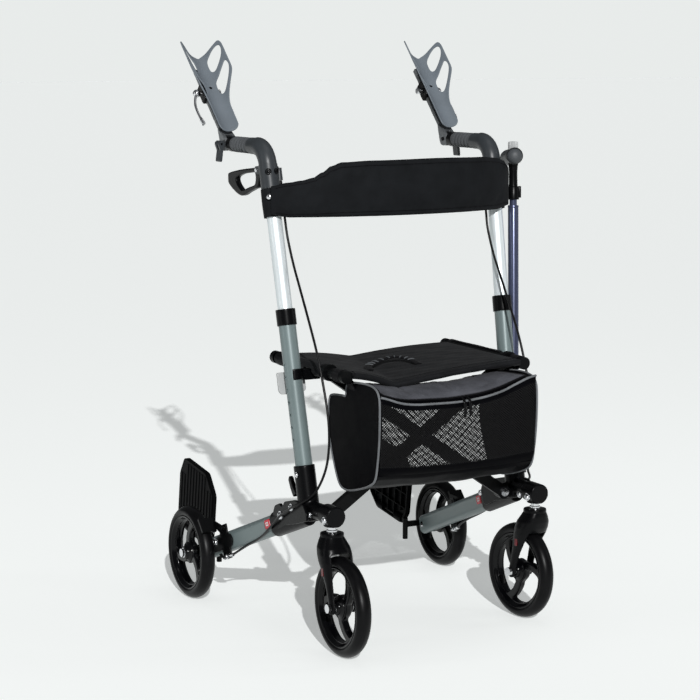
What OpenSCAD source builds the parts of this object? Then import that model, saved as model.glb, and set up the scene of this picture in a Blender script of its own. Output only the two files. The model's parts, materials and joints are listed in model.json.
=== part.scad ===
// Upright walker: an X-folding four-wheeled walking frame with forearm rests.
// Millimetres. +Z is up, the front casters point to -Y, +X is the user's left.
// The origin is on the floor, midway between the caster stems and the rear axles.

/* [Frame] */
// Distance from the caster stems to the rear axles
wheel_base = 511; // [480:1:540]
// Distance between the two caster stems
caster_track = 476; // [456:1:500]
// Distance between the two rear wheels
rear_track = 630; // [616:1:660]
// Backward rake of the uprights, in degrees
rake = 11.84; // [10:0.02:13]
// Outward lean of the uprights, in degrees
lean = 1.7; // [1:0.1:2.4]
// Length from the top of the frame socket to the corner of the elbow
upright_len = 644; // [600:1:680]
// Outside diameter of the lower tube
upright_d = 35; // [33:0.5:37]
// Wall of the lower tube
upright_wall = 2.4; // [2:0.1:2.4]
// Height of the collar's top above the frame socket, along the tube
collar_top = 315; // [300:1:330]
// Diameter of the holes in the lower tube
pin_hole_d = 7; // [5:0.5:8]
// Spacing of the holes in the lower tube
pin_pitch = 25; // [22:1:28]
// Number of holes in the lower tube
pin_holes = 7; // [4:1:8]
// Height of the rear leg's section
leg_h = 44; // [40:1:46]
// Width of the rear leg's section
leg_w = 25; // [22:1:26]
// Wall of the rear leg
leg_wall = 2; // [1.5:0.1:3]

/* [Wheels] */
// Diameter of all four wheels
wheel_d = 200; // [190:1:206]
// Width of the tyres
tyre_w = 32; // [28:1:34]
// Depth of the tyre over its rim
tyre_h = 19; // [15:1:22]
// Width of the wheel rims
rim_w = 26; // [20:1:28]
// Diameter of the wheel hubs
hub_d = 46; // [40:1:52]
// Diameter of the wheel axles
axle_d = 12; // [10:0.5:13]
// Distance of a caster's axle behind its stem
caster_trail = 45; // [40:1:50]
// Diameter of the caster stems
stem_d = 16; // [14:0.5:18]
// Turn of the user's right caster, in degrees from straight back
caster_turn_r = 180; // [0:1:360]
// Turn of the user's left caster, in degrees from straight back
caster_turn_l = 5; // [-180:1:180]
// Thickness of a fork leg
fork_leg_t = 8; // [6:0.5:9]

/* [Brace and seat] */
// Height of the seat rails
rail_z = 547; // [530:1:565]
// Half the distance between the seat rails, and between the lower brace pivots
rail_x = 206; // [202:1:208]
// Length of the seat rails
rail_len = 320; // [300:1:330]
// Diameter of the seat rails
rail_d = 22; // [20:0.5:24]
// Depth of a brace bar
brace_h = 25; // [22:1:30]
// Thickness of a brace bar
brace_t = 14; // [12:1:15]
// Height of the lower brace pivots
pivot_z = 265; // [262:1:270]
// Diameter of the brace bolts
pivot_d = 10; // [8:0.5:11]
// Thickness of the seat
seat_t = 10; // [8:1:13]
// Depth of the bag
bag_depth = 140; // [120:1:160]
// Height of the bag
bag_h = 205; // [180:1:210]
// Width of the bag
bag_w = 360; // [330:1:364]

/* [Handles] */
// Outside diameter of the telescoping handle tube
handle_d = 30; // [28:0.5:30]
// Wall of the handle tube
handle_wall = 1.8; // [1.5:0.1:2.5]
// Diameter of the elbow
elbow_d = 37; // [35:0.5:38]
// Radius of the elbow's bend
bend_r = 45; // [40:1:50]
// Length of the grip
grip_len = 79; // [70:1:90]
// Diameter of the grip
grip_d = 30; // [28:0.5:32]
// Length of the brake lever
brake_len = 150; // [135:1:160]
// Height of the brake lever's loop at its root
brake_h = 40; // [34:1:44]
// Width of the brake lever
brake_w = 12; // [9:0.5:12]
// Height of the backrest band at its middle
band_h = 116; // [100:1:120]
// Height of the backrest band at its ends
band_end_h = 70; // [60:1:76]
// How far the backrest band bows forward
band_bow = 55; // [45:1:60]
// Thickness of the backrest band
band_t = 12; // [8:1:14]

/* [Forearm rests] */
// Slope of the forearm rests, in degrees
tilt = 45; // [35:1:55]
// Length of a forearm trough
trough_len = 230; // [210:1:250]
// Radius of the trough's floor
trough_r = 32; // [29:1:35]
// Height of the trough's wings over its floor
wing_h = 40; // [36:1:44]
// Wall of the trough
trough_wall = 3; // [2.5:0.1:3.5]
// Width of the bar that carries a trough
carrier_w = 22; // [19:1:24]
// Thickness of the bar that carries a trough
carrier_t = 10; // [8:0.5:11]

/* [Foot plates] */
// Length of a foot plate
plate_len = 176; // [160:1:200]
// Height of a foot plate when it stands up
plate_h = 154; // [140:1:180]
// Thickness of a foot plate
plate_t = 12; // [10:1:16]
// Rise of the foot plates towards their rear, in degrees
plate_rise = 8; // [4:0.5:10]

/* [Cane] */
// Diameter of the cane's lower tube
cane_d = 22.5; // [20:0.5:24]
// Length of the cane from its tip to its handle
cane_len = 664; // [650:1:680]
// Length of the cane's handle
cane_grip_len = 96; // [90:1:110]

/* [Hidden] */
$fn = 48;
LEFT = 1;
RIGHT = -1;
// Radial clearance of a turning or sliding fit
run_gap = 0.05;
// Clearance of a seat within one body
fit_gap = 0.1;
// Clearance between neighbours that move, and round soft pieces
air_gap = 0.4;
// How far a cut runs past the face that it opens
over = 1;
// Facets of the shapes inside a hull
hull_fn = 32;

// Wheels and casters
wheel_r = wheel_d / 2;
stem_x = caster_track / 2;
stem_y = -wheel_base / 2;
axle_y = wheel_base / 2;
wheel_x = rear_track / 2;
rim_r = wheel_r - tyre_h;
rim_band = 15;
tyre_round = 13;
window_r = 13;
window_turn = 24;
hub_w = 36;
wheel_side_gap = 3;
crown_d = 58;
crown_top = 232;
crown_h = 34;
neck_h = 10;
neck_d = 24;
flange_d = 40;
flange_h = 8;
fork_eye_d = 24;
fork_arm_d = 38;
reach_gap = 4;
stem_len = 46;
bolt_head_d = 18;
bolt_head_h = 6;

// Frame joint, where the upright, the rear leg, the caster and the brace meet
foot_out = 9;
foot_back = 104;
foot_x = stem_x + foot_out;
foot_y = stem_y + foot_back;
foot_z = 358;
socket_wall = 4;
socket_depth = 70;
core_depth = 112;
head_d = 42;
head_z = 273;
head_front = 18;
head_rear = 24;
neck_reach = 86;
boss_d = 34;
stem_bore_top = 284;
sleeve_wall = 4.5;
sleeve_start = 323;
sleeve_end = 456;
leg_seat = 392;
lug_t = 8;
lug_d = 28;
lug_root_d = 34;

// Rear leg: its axis runs from the axle to the upright's foot
leg_x = 276;
leg_foot_z = 257;
leg_yaw = atan((leg_x - foot_x) / (axle_y - foot_y));
leg_slope = atan((leg_foot_z - wheel_r) / (axle_y - foot_y));
leg_tail = 10;

// Upright and handle tubes
upright_r = upright_d / 2;
handle_r = handle_d / 2;
handle_foot = 130;
head_drop = 44;
handle_head = upright_len - head_drop;
collar_h = 33;
collar_wall = 2.6;
hole_top = 202;
hook_s = (rail_z - foot_z) / cos(rake);
hook_h = 22;
hook_w = 18;
hook_drop = 11;

// Brace
brace_face_y = -181;
brace_y = brace_face_y - brace_t / 2;
brace_gap = 2;
brace_a_y = brace_y - (brace_t + brace_gap) / 2;
brace_b_y = brace_y + (brace_t + brace_gap) / 2;
pivot_eye_wall = 2;
pivot_eye_d = brace_h + 2 * pivot_eye_wall;
rail_eye_wall = 6;
pivot_head_d = 18;
pivot_head_h = 3;
brace_rise = rail_z - pivot_z;
brace_span = 2 * rail_x;
brace_angle = atan(brace_rise / brace_span);
brace_len = sqrt(brace_rise * brace_rise + brace_span * brace_span);
rail_front = -258;
rail_cap = 14;
rail_cap_wall = 2;

// Seat sling and bag
seat_front = -262;
seat_rear = 36;
seat_inset = 24;
seat_edge = rail_x - seat_inset;
sleeve_front = -160;
seat_wall = 3;
seat_drop = 9;
crease_front_x = -100;
crease_rear_x = -45;
crease_front_drop = 26;
crease_rear_drop = 14;
seat_crown = 4;
bag_gap = 6;
bag_rear = brace_a_y - brace_t / 2 - bag_gap;
bag_top = 514;
bag_round = 18;
bag_front_rise = 36;
bag_front_drop = 12;
flap_t = 8;
strap_w = 22;
strap_y = -230;
strap_wall = 2.5;
strap_x = 176;

// Handle
elbow_lip = 0.8;
elbow_foot_d = elbow_d + 2 * elbow_lip;
elbow_skirt = 84;
elbow_foot = upright_len - elbow_skirt;
bend_turn = 90 - rake;
bend_reach = bend_r * tan(bend_turn / 2);
sleeve_d = 34;
grip_start = 62;
spigot_d = 20;
rib_h = 1.4;
rib_w = 5;
grip_ribs = 5;
cable_boss_d = 12;
cable_boss_h = 25;
cable_boss_x = 23;
cable_boss_rise = 15;
brake_pivot_y = 24;
brake_pivot_z = -47;
brake_pin_d = 6;
ear_t = 5;
ear_d = 16;
clamp_d = 32;
clamp_h = 18;
tongue_d = 30;
tongue_w = 14;
knuckle_gap = 1;
tilt_pin_d = 8;
tilt_pin_inner = 16;
tongue_gap = 0.5;
pivot_y = grip_start + grip_len + clamp_h + knuckle_gap + tongue_d / 2 + tongue_gap;
ear_w = 6;
cam_x = 21;
cam_d = 14;
cam_t = 5.4;
cam_pin_d = 5;
cam_room = 4.6;
tilt_lever_len = 34;
tilt_lever_t = 6;

// Forearm trough, in a frame with y along the forearm and z square to it
trough_start = 14;
trough_z = 20;
wing_angle = 55;
carrier_start = 17;
carrier_end = 205;
carrier_z = 4;
saddle_w = 32;
saddle_y = 140;
saddle_len = 42;
saddle_foot = 5;
slide_lever_len = 88;
slide_lever_t = 7;
slide_stop = 3;
skewer_d = 8;

// Rear bracket and foot plate
bracket_t = 4;
bracket_front = 132;
bracket_rear = 40;
bracket_h = 30;
bracket_post_h = 74;
bracket_post_w = 34;
post_d = 12;
post_top = 112;
post_foot = 63;
post_back = 28;
post_y = axle_y + post_back;
plate_x = 248;
hinge_z = 97;
hinge_d = 8;
hinge_eye_d = 18;
plate_start = 12;
plate_chamfer = 40;
plate_rib_t = 3;
plate_ribs = 6;
plate_skin = 5;
hinge_eye_len = 30;

// Brake shoe arm
shoe_t = 6;
shoe_gap = 3;
shoe_angle = 44;
shoe_w = 26;
shoe_len = 34;
arm_pivot_y = 150;
arm_pivot_z = 172;
arm_pin_d = 6;
arm_t = 4;
arm_d = 16;

// Release button
button_z = 312;
button_len = 13;
button_h = 15;
button_y = 4;
button_proud = 4;

// Backrest band
band_drop = 144;
band_foot_s = upright_len - band_drop;
band_sleeve_wall = 4;

// Cane and its holder
cane_out = 32.8;
cane_back = 45;
cane_drop = 61;
cane_rake = 5;
cane_lean = 2.2;
cane_turn = 24;
cane_tip_d = 30;
cane_tip_h = 26;
cane_upper_d = 16;
cane_joint_drop = 108;
cane_joint = cane_len - cane_joint_drop;
cane_neck_d = 20;
cane_neck_h = 92;
cane_collar_d = 25;
cane_collar_h = 28;
cane_grip_d = 34;
cane_nose = 18;
cup_wall = 3;
cup_depth = 34;
cup_floor = 4;
cup_band_s = -62;
clip_s = 112;
clip_h = 22;
clip_wall = 4;
arm_w = 10;
band_wall = 3.5;

// Brake cable, from the elbow's boss to the nipple on the rear bracket (user's left)
cable_d = 5;
cable_sides = 8;
cable_bow = 27;
cable_side = 2.5;
cable_gap = 1;
cable_low = [237, -187, 592];
// Upper run of the cable: shares of the way up, and of the bow backwards
cable_shares = [
    [1, 0], [0.936, 0.18], [0.845, 0.48], [0.748, 0.77], [0.65, 1], [0.5, 0.96], [0.35, 0.65], [0.18, 0.29],
    [0, 0]
];
// Lower run of the cable, down the front of the upright and back along the leg
cable_tail = [
    [237, -215, 530], [237, -236, 470], [238, -243, 420], [239, -236, 374], [243, -221, 338],
    [251, -207, 312], [264, -194, 296], [275, -174, 284], [277, -142, 268], [276, -100, 246],
    [275, -60, 218], [273, -20, 191], [271, 20, 170], [271, 60, 152], [273, 95, 134], [278, 118, 120]
];

// Places

// Everything is drawn for the user's left and mirrored for the right
module on_side(side) {
    if (side == LEFT) children();
    else mirror([1, 0, 0]) children();
}

// z runs up the upright from the top of the frame socket
module at_upright() {
    translate([foot_x, foot_y, foot_z]) rotate([-rake, lean, 0]) children();
}

// y runs back along the grip from the corner of the elbow
module at_elbow() {
    translate([foot_x, foot_y, foot_z]) rotate([0, lean, 0])
        translate([0, upright_len * sin(rake), upright_len * cos(rake)]) children();
}

// y runs up the forearm from the tilt pivot, z is square to the forearm
module at_forearm() {
    at_elbow() translate([0, pivot_y, 0]) rotate([tilt, 0, 0]) children();
}

// z runs forward along the rear leg from the axle
module at_leg() {
    translate([leg_x, axle_y, wheel_r]) rotate([0, 0, -leg_yaw])
        rotate([90 - leg_slope, 0, 0]) children();
}

// x is the caster's axle, y points from the stem to the axle
module at_caster(side) {
    turn = side == LEFT ? caster_turn_l : caster_turn_r;
    translate([side * stem_x, stem_y, 0]) rotate([0, 0, turn]) children();
}

// y runs back along the foot plate's hinge
module at_plate() {
    translate([plate_x, post_y, hinge_z]) rotate([plate_rise, 0, 0]) children();
}

// Shapes

// A cylinder along x, centred
module rod_x(d, h) {
    rotate([0, 90, 0]) cylinder(d = d, h = h, center = true);
}

// A cylinder along y, from 0 to h
module rod_y(d, h) {
    rotate([-90, 0, 0]) cylinder(d = d, h = h);
}

// A flat drawing in y and z, given a thickness about the middle in x
module side_slab(t) {
    rotate([90, 0, 90]) linear_extrude(t, center = true) children();
}

// A flat drawing in x and z, given a thickness about the middle in y
module front_slab(t) {
    rotate([90, 0, 0]) linear_extrude(t, center = true) children();
}

// Two discs and the straight tangents between them
module taper(p, d1, q, d2) {
    run = norm(q - p);
    along = (q - p) / run;
    square = [-along[1], along[0]];
    slant = (d1 - d2) / 2 / run;
    side = sqrt(1 - slant * slant);
    up = slant * along + side * square;
    down = slant * along - side * square;
    translate(p) circle(d = d1);
    translate(q) circle(d = d2);
    polygon([p + d1 / 2 * up, p + d1 / 2 * down, q + d2 / 2 * down, q + d2 / 2 * up]);
}

// A flat oval with round top and bottom
module oval(w, h) {
    square([w, h - w], center = true);
    for (end = [-1, 1]) translate([0, end * (h - w) / 2]) circle(d = w);
}

// A tube swept along a list of points
function unit(v) = v / norm(v);
function heading(path, i) =
    unit(path[min(i + 1, len(path) - 1)] - path[max(i - 1, 0)]);
function ring(path, i, d, sides) =
    let (ahead = heading(path, i), across = unit(cross(ahead, [1, 0, 0])), up = cross(across, ahead))
    [for (k = [0 : sides - 1])
        let (a = 360 * k / sides) path[i] + d / 2 * (cos(a) * across + sin(a) * up)];
module swept_tube(path, d, sides) {
    rings = len(path);
    points = [for (i = [0 : rings - 1]) each ring(path, i, d, sides)];
    walls = [for (i = [0 : rings - 2], k = [0 : sides - 1])
        let (a = i * sides + k, b = i * sides + (k + 1) % sides)
        each [[a, b, b + sides], [a, b + sides, a + sides]]];
    first = [for (k = [1 : sides - 2]) [0, k + 1, k]];
    base = (rings - 1) * sides;
    last = [for (k = [1 : sides - 2]) [base, base + k, base + k + 1]];
    polyhedron(points, concat(walls, first, last));
}

// Frame

module frame_joint(side) {
    lug_y = (side == LEFT ? brace_b_y : brace_a_y) + brace_t / 2 + air_gap + lug_t / 2;
    color("#17181a") on_side(side) difference() {
        union() {
            at_upright() translate([0, 0, -core_depth])
                cylinder(d = upright_d + 2 * socket_wall, h = core_depth);
            at_leg() translate([0, 0, sleeve_start]) linear_extrude(sleeve_end - sleeve_start)
                oval(leg_w + 2 * sleeve_wall, leg_h + 2 * sleeve_wall);
            translate([stem_x, stem_y, head_z]) rotate([0, 0, -leg_yaw])
                rod_y(head_d - 2 * socket_wall, neck_reach);
            translate([stem_x, stem_y - head_front, head_z]) rod_y(head_d, head_front + head_rear);
            translate([stem_x, stem_y, crown_top + neck_h])
                cylinder(d = boss_d, h = head_z - crown_top - neck_h);
            translate([0, lug_y, 0]) front_slab(lug_t)
                taper([rail_x, pivot_z], lug_d, [foot_x, pivot_z], lug_root_d);
        }
        at_upright() translate([0, 0, -socket_depth])
            cylinder(d = upright_d + 2 * fit_gap, h = socket_depth + over);
        at_leg() translate([0, 0, -over]) linear_extrude(leg_seat + over)
            oval(leg_w + 2 * fit_gap, leg_h + 2 * fit_gap);
        translate([stem_x, stem_y, crown_top])
            cylinder(d = stem_d + 2 * run_gap, h = stem_bore_top - crown_top);
        translate([rail_x, lug_y - lug_t, pivot_z]) rod_y(pivot_d + 2 * fit_gap, 2 * lug_t);
    }
}

module upright_tube(side) {
    top = collar_top - collar_wall;
    color("#97a6a2") on_side(side) at_upright() difference() {
        translate([0, 0, -socket_depth]) cylinder(d = upright_d, h = socket_depth + top);
        translate([0, 0, -socket_depth - over])
            cylinder(d = upright_d - 2 * upright_wall, h = socket_depth + top + 2 * over);
        for (i = [0 : pin_holes - 1]) translate([upright_r, 0, hole_top - i * pin_pitch])
            rod_x(pin_hole_d, upright_r);
    }
}

// The collar at the tube's mouth, and the hook that the seat rail rests in
module upright_clamps(side) {
    color("#141517") on_side(side) {
        at_upright() difference() {
            translate([0, 0, collar_top - collar_h])
                cylinder(d = upright_d + 2 * collar_wall, h = collar_h);
            translate([0, 0, collar_top - collar_h - over])
                cylinder(d = upright_d + 2 * fit_gap, h = collar_h - collar_wall + over);
            translate([0, 0, collar_top - 2 * collar_wall])
                cylinder(d = handle_d + 2 * run_gap, h = 2 * collar_wall + over);
        }
        difference() {
            union() {
                at_upright() translate([0, 0, hook_s - hook_h]) difference() {
                    cylinder(d = upright_d + 2 * collar_wall, h = hook_h);
                    translate([upright_r / 2, -upright_d, -over])
                        cube([upright_d, 2 * upright_d, hook_h + 2 * over]);
                }
                translate([rail_x - rail_d / 2, hook_y() - hook_w / 2, rail_z - rail_d])
                    cube([hook_x() - rail_x + rail_d / 2, hook_w, rail_d]);
            }
            at_upright() translate([0, 0, hook_s - hook_h - rail_d])
                cylinder(d = upright_d + 2 * fit_gap, h = hook_h + 2 * rail_d + rail_d);
            translate([rail_x, hook_y() - hook_w, rail_z]) rod_y(rail_d + 2 * air_gap, 2 * hook_w);
            translate([rail_x - rail_d - over, hook_y() - hook_w, rail_z - rail_d / 2 + hook_drop / 2])
                cube([rail_d + over + rail_d / 2 + air_gap, 2 * hook_w, rail_d]);
        }
    }
}

// Hole for the rear wheel's axle through the leg and its bracket
module axle_hole() {
    rod_x(axle_d + 2 * air_gap, 4 * leg_w);
}
function hook_y() = foot_y + (hook_s - hook_h / 2) * sin(rake);
function hook_x() = foot_x + (hook_s - hook_h / 2) * cos(rake) * sin(lean);

module rear_leg(side) {
    color("#9aa8a4") on_side(side) at_leg() difference() {
        translate([0, 0, -leg_tail]) linear_extrude(leg_tail + leg_seat - fit_gap) oval(leg_w, leg_h);
        translate([0, 0, -leg_tail + leg_wall]) linear_extrude(leg_tail + leg_seat)
            oval(leg_w - 2 * leg_wall, leg_h - 2 * leg_wall);
        translate([0, button_y, button_z])
            cube([2 * leg_w, button_h + 2 * air_gap, button_len + 2 * air_gap], center = true);
        rotate([leg_slope - 90, 0, 0]) rotate([0, 0, leg_yaw]) axle_hole();
    }
}

// Steel plate on the leg's outer face: brake mount, cable stop, foot plate post and hinge pin
module rear_bracket(side) {
    color("#161719") on_side(side) {
        plate_at = leg_w / 2 + fit_gap + bracket_t / 2;
        difference() {
            union() {
                at_leg() translate([plate_at, 0, 0]) rotate([0, 90, 0])
                    linear_extrude(bracket_t, center = true)
                    taper([-bracket_front, 0], bracket_h, [bracket_rear, 0], bracket_h);
                at_leg() translate([plate_at, 0, bracket_front - bracket_post_w / 2])
                    cube([bracket_t, bracket_post_h, bracket_post_w], center = true);
                translate([leg_x + leg_w / 2, arm_pivot_y, arm_pivot_z]) rod_x(arm_pin_d, arm_reach());
                translate([plate_x - post_d, post_y - post_d / 2, hinge_z - post_d / 2])
                    cube([leg_x + leg_w / 2 + bracket_t - plate_x + post_d, post_d, post_d]);
                translate([plate_x - post_d, post_y, post_foot])
                    cylinder(d = post_d, h = post_top - post_foot);
                at_plate() rod_y(hinge_d, plate_start + plate_len - plate_chamfer);
            }
            translate([leg_x, axle_y, wheel_r]) axle_hole();
        }
    }
}
function arm_reach() = 2 * (bracket_t + arm_t + 2 * air_gap);

// Rear axle and brace pivot bolt
module frame_bolts(side) {
    brace_face = (side == LEFT ? brace_b_y : brace_a_y) - brace_t / 2;
    axle_in = leg_x - leg_w / 2;
    axle_out = wheel_x + hub_w / 2 + air_gap;
    color("#c9cdd0") on_side(side) {
        translate([axle_in, axle_y, wheel_r]) rotate([0, 90, 0]) {
            cylinder(d = axle_d, h = axle_out - axle_in);
            translate([0, 0, axle_out - axle_in]) cylinder(d = bolt_head_d, h = bolt_head_h);
        }
        translate([rail_x, brace_face - air_gap, pivot_z]) {
            rod_y(pivot_d, air_gap + brace_t + air_gap + lug_t);
            translate([0, -pivot_head_h, 0]) rod_y(pivot_head_d, pivot_head_h);
        }
    }
}

// Wheels

module tyre() {
    rotate([0, 90, 0]) rotate_extrude() difference() {
        union() {
            translate([rim_r, -tyre_w / 2 + tyre_round]) square([tyre_h, tyre_w - 2 * tyre_round]);
            translate([rim_r, -tyre_w / 2]) square([tyre_h - tyre_round, tyre_w]);
            for (end = [-1, 1])
                translate([wheel_r - tyre_round, end * (tyre_w / 2 - tyre_round)])
                    circle(r = tyre_round);
        }
        translate([0, -tyre_w]) square([rim_r, 2 * tyre_w]);
    }
}

// A rim with three broad spokes between rounded windows
module rim() {
    inner = rim_r - rim_band - window_r;
    core = hub_d / 2 + window_r;
    rotate([0, 90, 0]) difference() {
        union() {
            cylinder(r = rim_r, h = rim_w, center = true);
            cylinder(d = hub_d, h = hub_w, center = true);
        }
        for (i = [0 : 2]) rotate([0, 0, 120 * i]) linear_extrude(2 * rim_w, center = true) hull() {
            translate([core * cos(window_turn), core * sin(window_turn)])
                circle(r = window_r, $fn = hull_fn);
            for (a = [-window_turn, 0, window_turn, 1.5 * window_turn])
                translate([inner * cos(a), inner * sin(a)]) circle(r = window_r, $fn = hull_fn);
        }
        cylinder(d = axle_d + 2 * run_gap, h = 2 * hub_w, center = true);
    }
}

module at_rear_wheel(side) {
    translate([side * wheel_x, axle_y, wheel_r]) children();
}
module rear_tyre(side) { color("#222325") at_rear_wheel(side) tyre(); }
module rear_rim(side) { color("#0f1012") at_rear_wheel(side) rim(); }
module caster_tyre(side) {
    color("#222325") at_caster(side) translate([0, caster_trail, wheel_r]) tyre();
}
module caster_rim(side) {
    color("#0f1012") at_caster(side) translate([0, caster_trail, wheel_r]) rim();
}

// A crown over the wheel, two legs and the stem
module caster_fork(side) {
    inner = max(hub_w, tyre_w) / 2 + wheel_side_gap;
    color("#131416") at_caster(side) difference() {
        union() {
            difference() {
                union() {
                    translate([0, 0, crown_top - flange_h]) cylinder(d = flange_d, h = flange_h);
                    translate([0, 0, crown_top - flange_h - crown_h / 2])
                        cylinder(d1 = crown_d, d2 = flange_d, h = crown_h / 2);
                    translate([0, 0, crown_top - flange_h - 2 * crown_h])
                        cylinder(d = crown_d, h = 1.5 * crown_h);
                }
                translate([0, caster_trail, wheel_r]) rod_x(wheel_d + 2 * reach_gap, 2 * inner);
                translate([0, 0, -crown_h]) cylinder(d = 2 * crown_d, h = wheel_d - crown_h / 2);
            }
            for (end = [-1, 1]) translate([end * (inner + fork_leg_t / 2), 0, 0]) side_slab(fork_leg_t)
                taper([0, crown_top - flange_h - crown_h], fork_arm_d, [caster_trail, wheel_r], fork_eye_d);
            translate([0, 0, crown_top - over]) cylinder(d = stem_d, h = stem_len + over);
            translate([0, 0, crown_top - over]) cylinder(d = neck_d, h = neck_h - air_gap + over);
        }
        translate([0, caster_trail, wheel_r]) rod_x(axle_d + 2 * fit_gap, 4 * inner);
    }
}

module caster_bolts(side) {
    inner = max(hub_w, tyre_w) / 2 + wheel_side_gap;
    color("#c9cdd0") at_caster(side) translate([0, caster_trail, wheel_r]) {
        rod_x(axle_d, 2 * (inner + fork_leg_t));
        for (end = [-1, 1]) translate([end * (inner + fork_leg_t + bolt_head_h / 2), 0, 0])
            rod_x(bolt_head_d, bolt_head_h);
    }
}

// Handles

module handle_tube(side) {
    color("#d5d9db") on_side(side) at_upright() difference() {
        translate([0, 0, handle_foot]) cylinder(d = handle_d, h = handle_head - handle_foot);
        translate([0, 0, handle_foot - over])
            cylinder(d = handle_d - 2 * handle_wall, h = handle_head - handle_foot + 2 * over);
    }
}

module handle_elbow(side) {
    bend_start = upright_len - bend_reach;
    color("#3b4045") on_side(side) difference() {
        union() {
            at_upright() translate([0, 0, elbow_foot])
                cylinder(d = elbow_foot_d, h = bend_start - elbow_foot + over);
            at_elbow() translate([0, bend_reach, -bend_r]) rotate([180, -90, 0])
                rotate_extrude(angle = bend_turn) translate([bend_r, 0]) circle(d = elbow_d);
            at_elbow() translate([0, bend_reach - over, 0])
                rod_y(sleeve_d, grip_start - bend_reach + over);
            at_elbow() translate([0, bend_reach, 0])
                rod_y(spigot_d, pivot_y - tongue_d / 2 - knuckle_gap - fit_gap - bend_reach);
            at_upright() translate([-cable_boss_x, 0, elbow_foot + cable_boss_rise])
                cylinder(d = cable_boss_d, h = cable_boss_h);
            at_elbow() for (end = [-1, 1]) translate([end * (brake_w / 2 + air_gap + ear_t / 2), 0, 0])
                side_slab(ear_t)
                    taper([brake_pivot_y, brake_pivot_z], ear_d, [0, brake_pivot_z], ear_d);
            at_elbow() translate([0, brake_pivot_y, brake_pivot_z])
                rod_x(brake_pin_d, brake_w + 2 * air_gap + 2 * ear_t);
        }
        at_upright() translate([0, 0, elbow_foot - over])
            cylinder(d = handle_d + 2 * fit_gap, h = handle_head - elbow_foot + over);
    }
}

module grip(side) {
    color("#5c6166") on_side(side) at_elbow() {
        difference() {
            union() {
                translate([0, grip_start + fit_gap, 0]) rod_y(grip_d, grip_len - fit_gap);
                for (i = [1 : grip_ribs]) translate([0, grip_start + i * grip_len / (grip_ribs + 1), 0])
                    rod_y(grip_d + 2 * rib_h, rib_w);
            }
            rod_y(spigot_d + 2 * fit_gap, 2 * pivot_y);
        }
    }
}

// The toothed knuckle on the end of the grip, with the pin that the forearm rest tilts on
module tilt_clamp(side) {
    ring_y = grip_start + grip_len + fit_gap;
    color("#18191b") on_side(side) at_elbow() {
        difference() {
            union() {
                translate([0, ring_y, 0]) rod_y(clamp_d, clamp_h - fit_gap);
                translate([0, pivot_y, 0]) rod_x(tongue_d, tongue_w);
                translate([0, pivot_y - tongue_d / 2, 0])
                    cube([tongue_w, tongue_d, tongue_d / 2], center = true);
                translate([cam_x / 2 - tilt_pin_inner / 2, pivot_y, 0])
                    rod_x(tilt_pin_d, cam_x + tilt_pin_inner);
                translate([cam_x, pivot_y - cam_room - cam_t, 0])
                    rod_y(cam_pin_d, 2 * (cam_room + cam_t));
            }
            rod_y(spigot_d + 2 * fit_gap, pivot_y - tongue_d / 2 - knuckle_gap);
        }
    }
}

module tilt_lever(side) {
    color("#232427") on_side(side) at_elbow() translate([cam_x, pivot_y, 0]) difference() {
        union() {
            for (end = [-1, 1]) translate([0, end * (cam_room + cam_t / 2), 0]) front_slab(cam_t)
                taper([0, 0], cam_d, [0, -cam_d], tilt_lever_t - over);
            front_slab(2 * (cam_room + cam_t))
                taper([0, -cam_d], tilt_lever_t, [tilt_lever_t / 2, -tilt_lever_len], tilt_lever_t);
        }
        translate([0, -2 * cam_d, 0]) rod_y(cam_pin_d + 2 * run_gap, 4 * cam_d);
    }
}

// Forearm rests

module forearm_carrier(side) {
    ear_at = tongue_w / 2 + air_gap + ear_w / 2;
    color("#8d9296") on_side(side) at_forearm() difference() {
        union() {
            for (end = [-1, 1]) translate([end * ear_at, 0, 0]) side_slab(ear_w)
                taper([0, 0], tongue_d, [2 * carrier_start, carrier_z], carrier_t - 2 * over);
            translate([-carrier_w / 2, carrier_start, carrier_z - carrier_t / 2])
                cube([carrier_w, carrier_end - carrier_start, carrier_t]);
        }
        rod_x(tilt_pin_d + 2 * run_gap, 4 * tongue_w);
    }
}

// Side outline of the trough, as shares of its length and of its wings' height
trough_outline_shares = [
    [0, -0.1], [0, 0.12], [0.06, 0.2], [0.3, 0.2], [0.45, 0.5], [0.65, 1], [0.95, 1], [1, 0.82],
    [0.93, 0.02],
    [0.91, -0.1]
];
// The two windows in each wing, in the same shares
upper_window_shares = [
    [0.72, 0.14], [0.85, 0.14], [0.93, 0.4], [0.96, 0.78], [0.89, 0.86], [0.82, 0.74], [0.71, 0.32]
];
lower_window_shares = [
    [0.45, 0.14], [0.59, 0.14], [0.66, 0.38], [0.765, 0.84], [0.675, 0.9], [0.565, 0.68], [0.44, 0.3]
];
function trough_points(shares) =
    [for (s = shares) [trough_start + s[0] * trough_len, trough_z + s[1] * wing_h]];

// A round floor running into two splayed wings
module trough_section() {
    inner = trough_r - trough_wall;
    reach = (wing_h - trough_r * (1 - cos(wing_angle))) / sin(wing_angle);
    translate([0, trough_z + trough_r]) {
        intersection() {
            difference() {
                circle(r = trough_r);
                circle(r = inner);
            }
            polygon([[0, 0], 2 * trough_r * [-sin(wing_angle), -cos(wing_angle)], [0, -4 * trough_r],
                2 * trough_r * [sin(wing_angle), -cos(wing_angle)]]);
        }
        for (end = [-1, 1])
            polygon([for (at = [[trough_r, -over], [trough_r, reach], [inner, reach], [inner, -over]])
            [end * (at[0] * sin(wing_angle) + at[1] * cos(wing_angle)),
                -at[0] * cos(wing_angle) + at[1] * sin(wing_angle)]]);
    }
}

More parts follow.
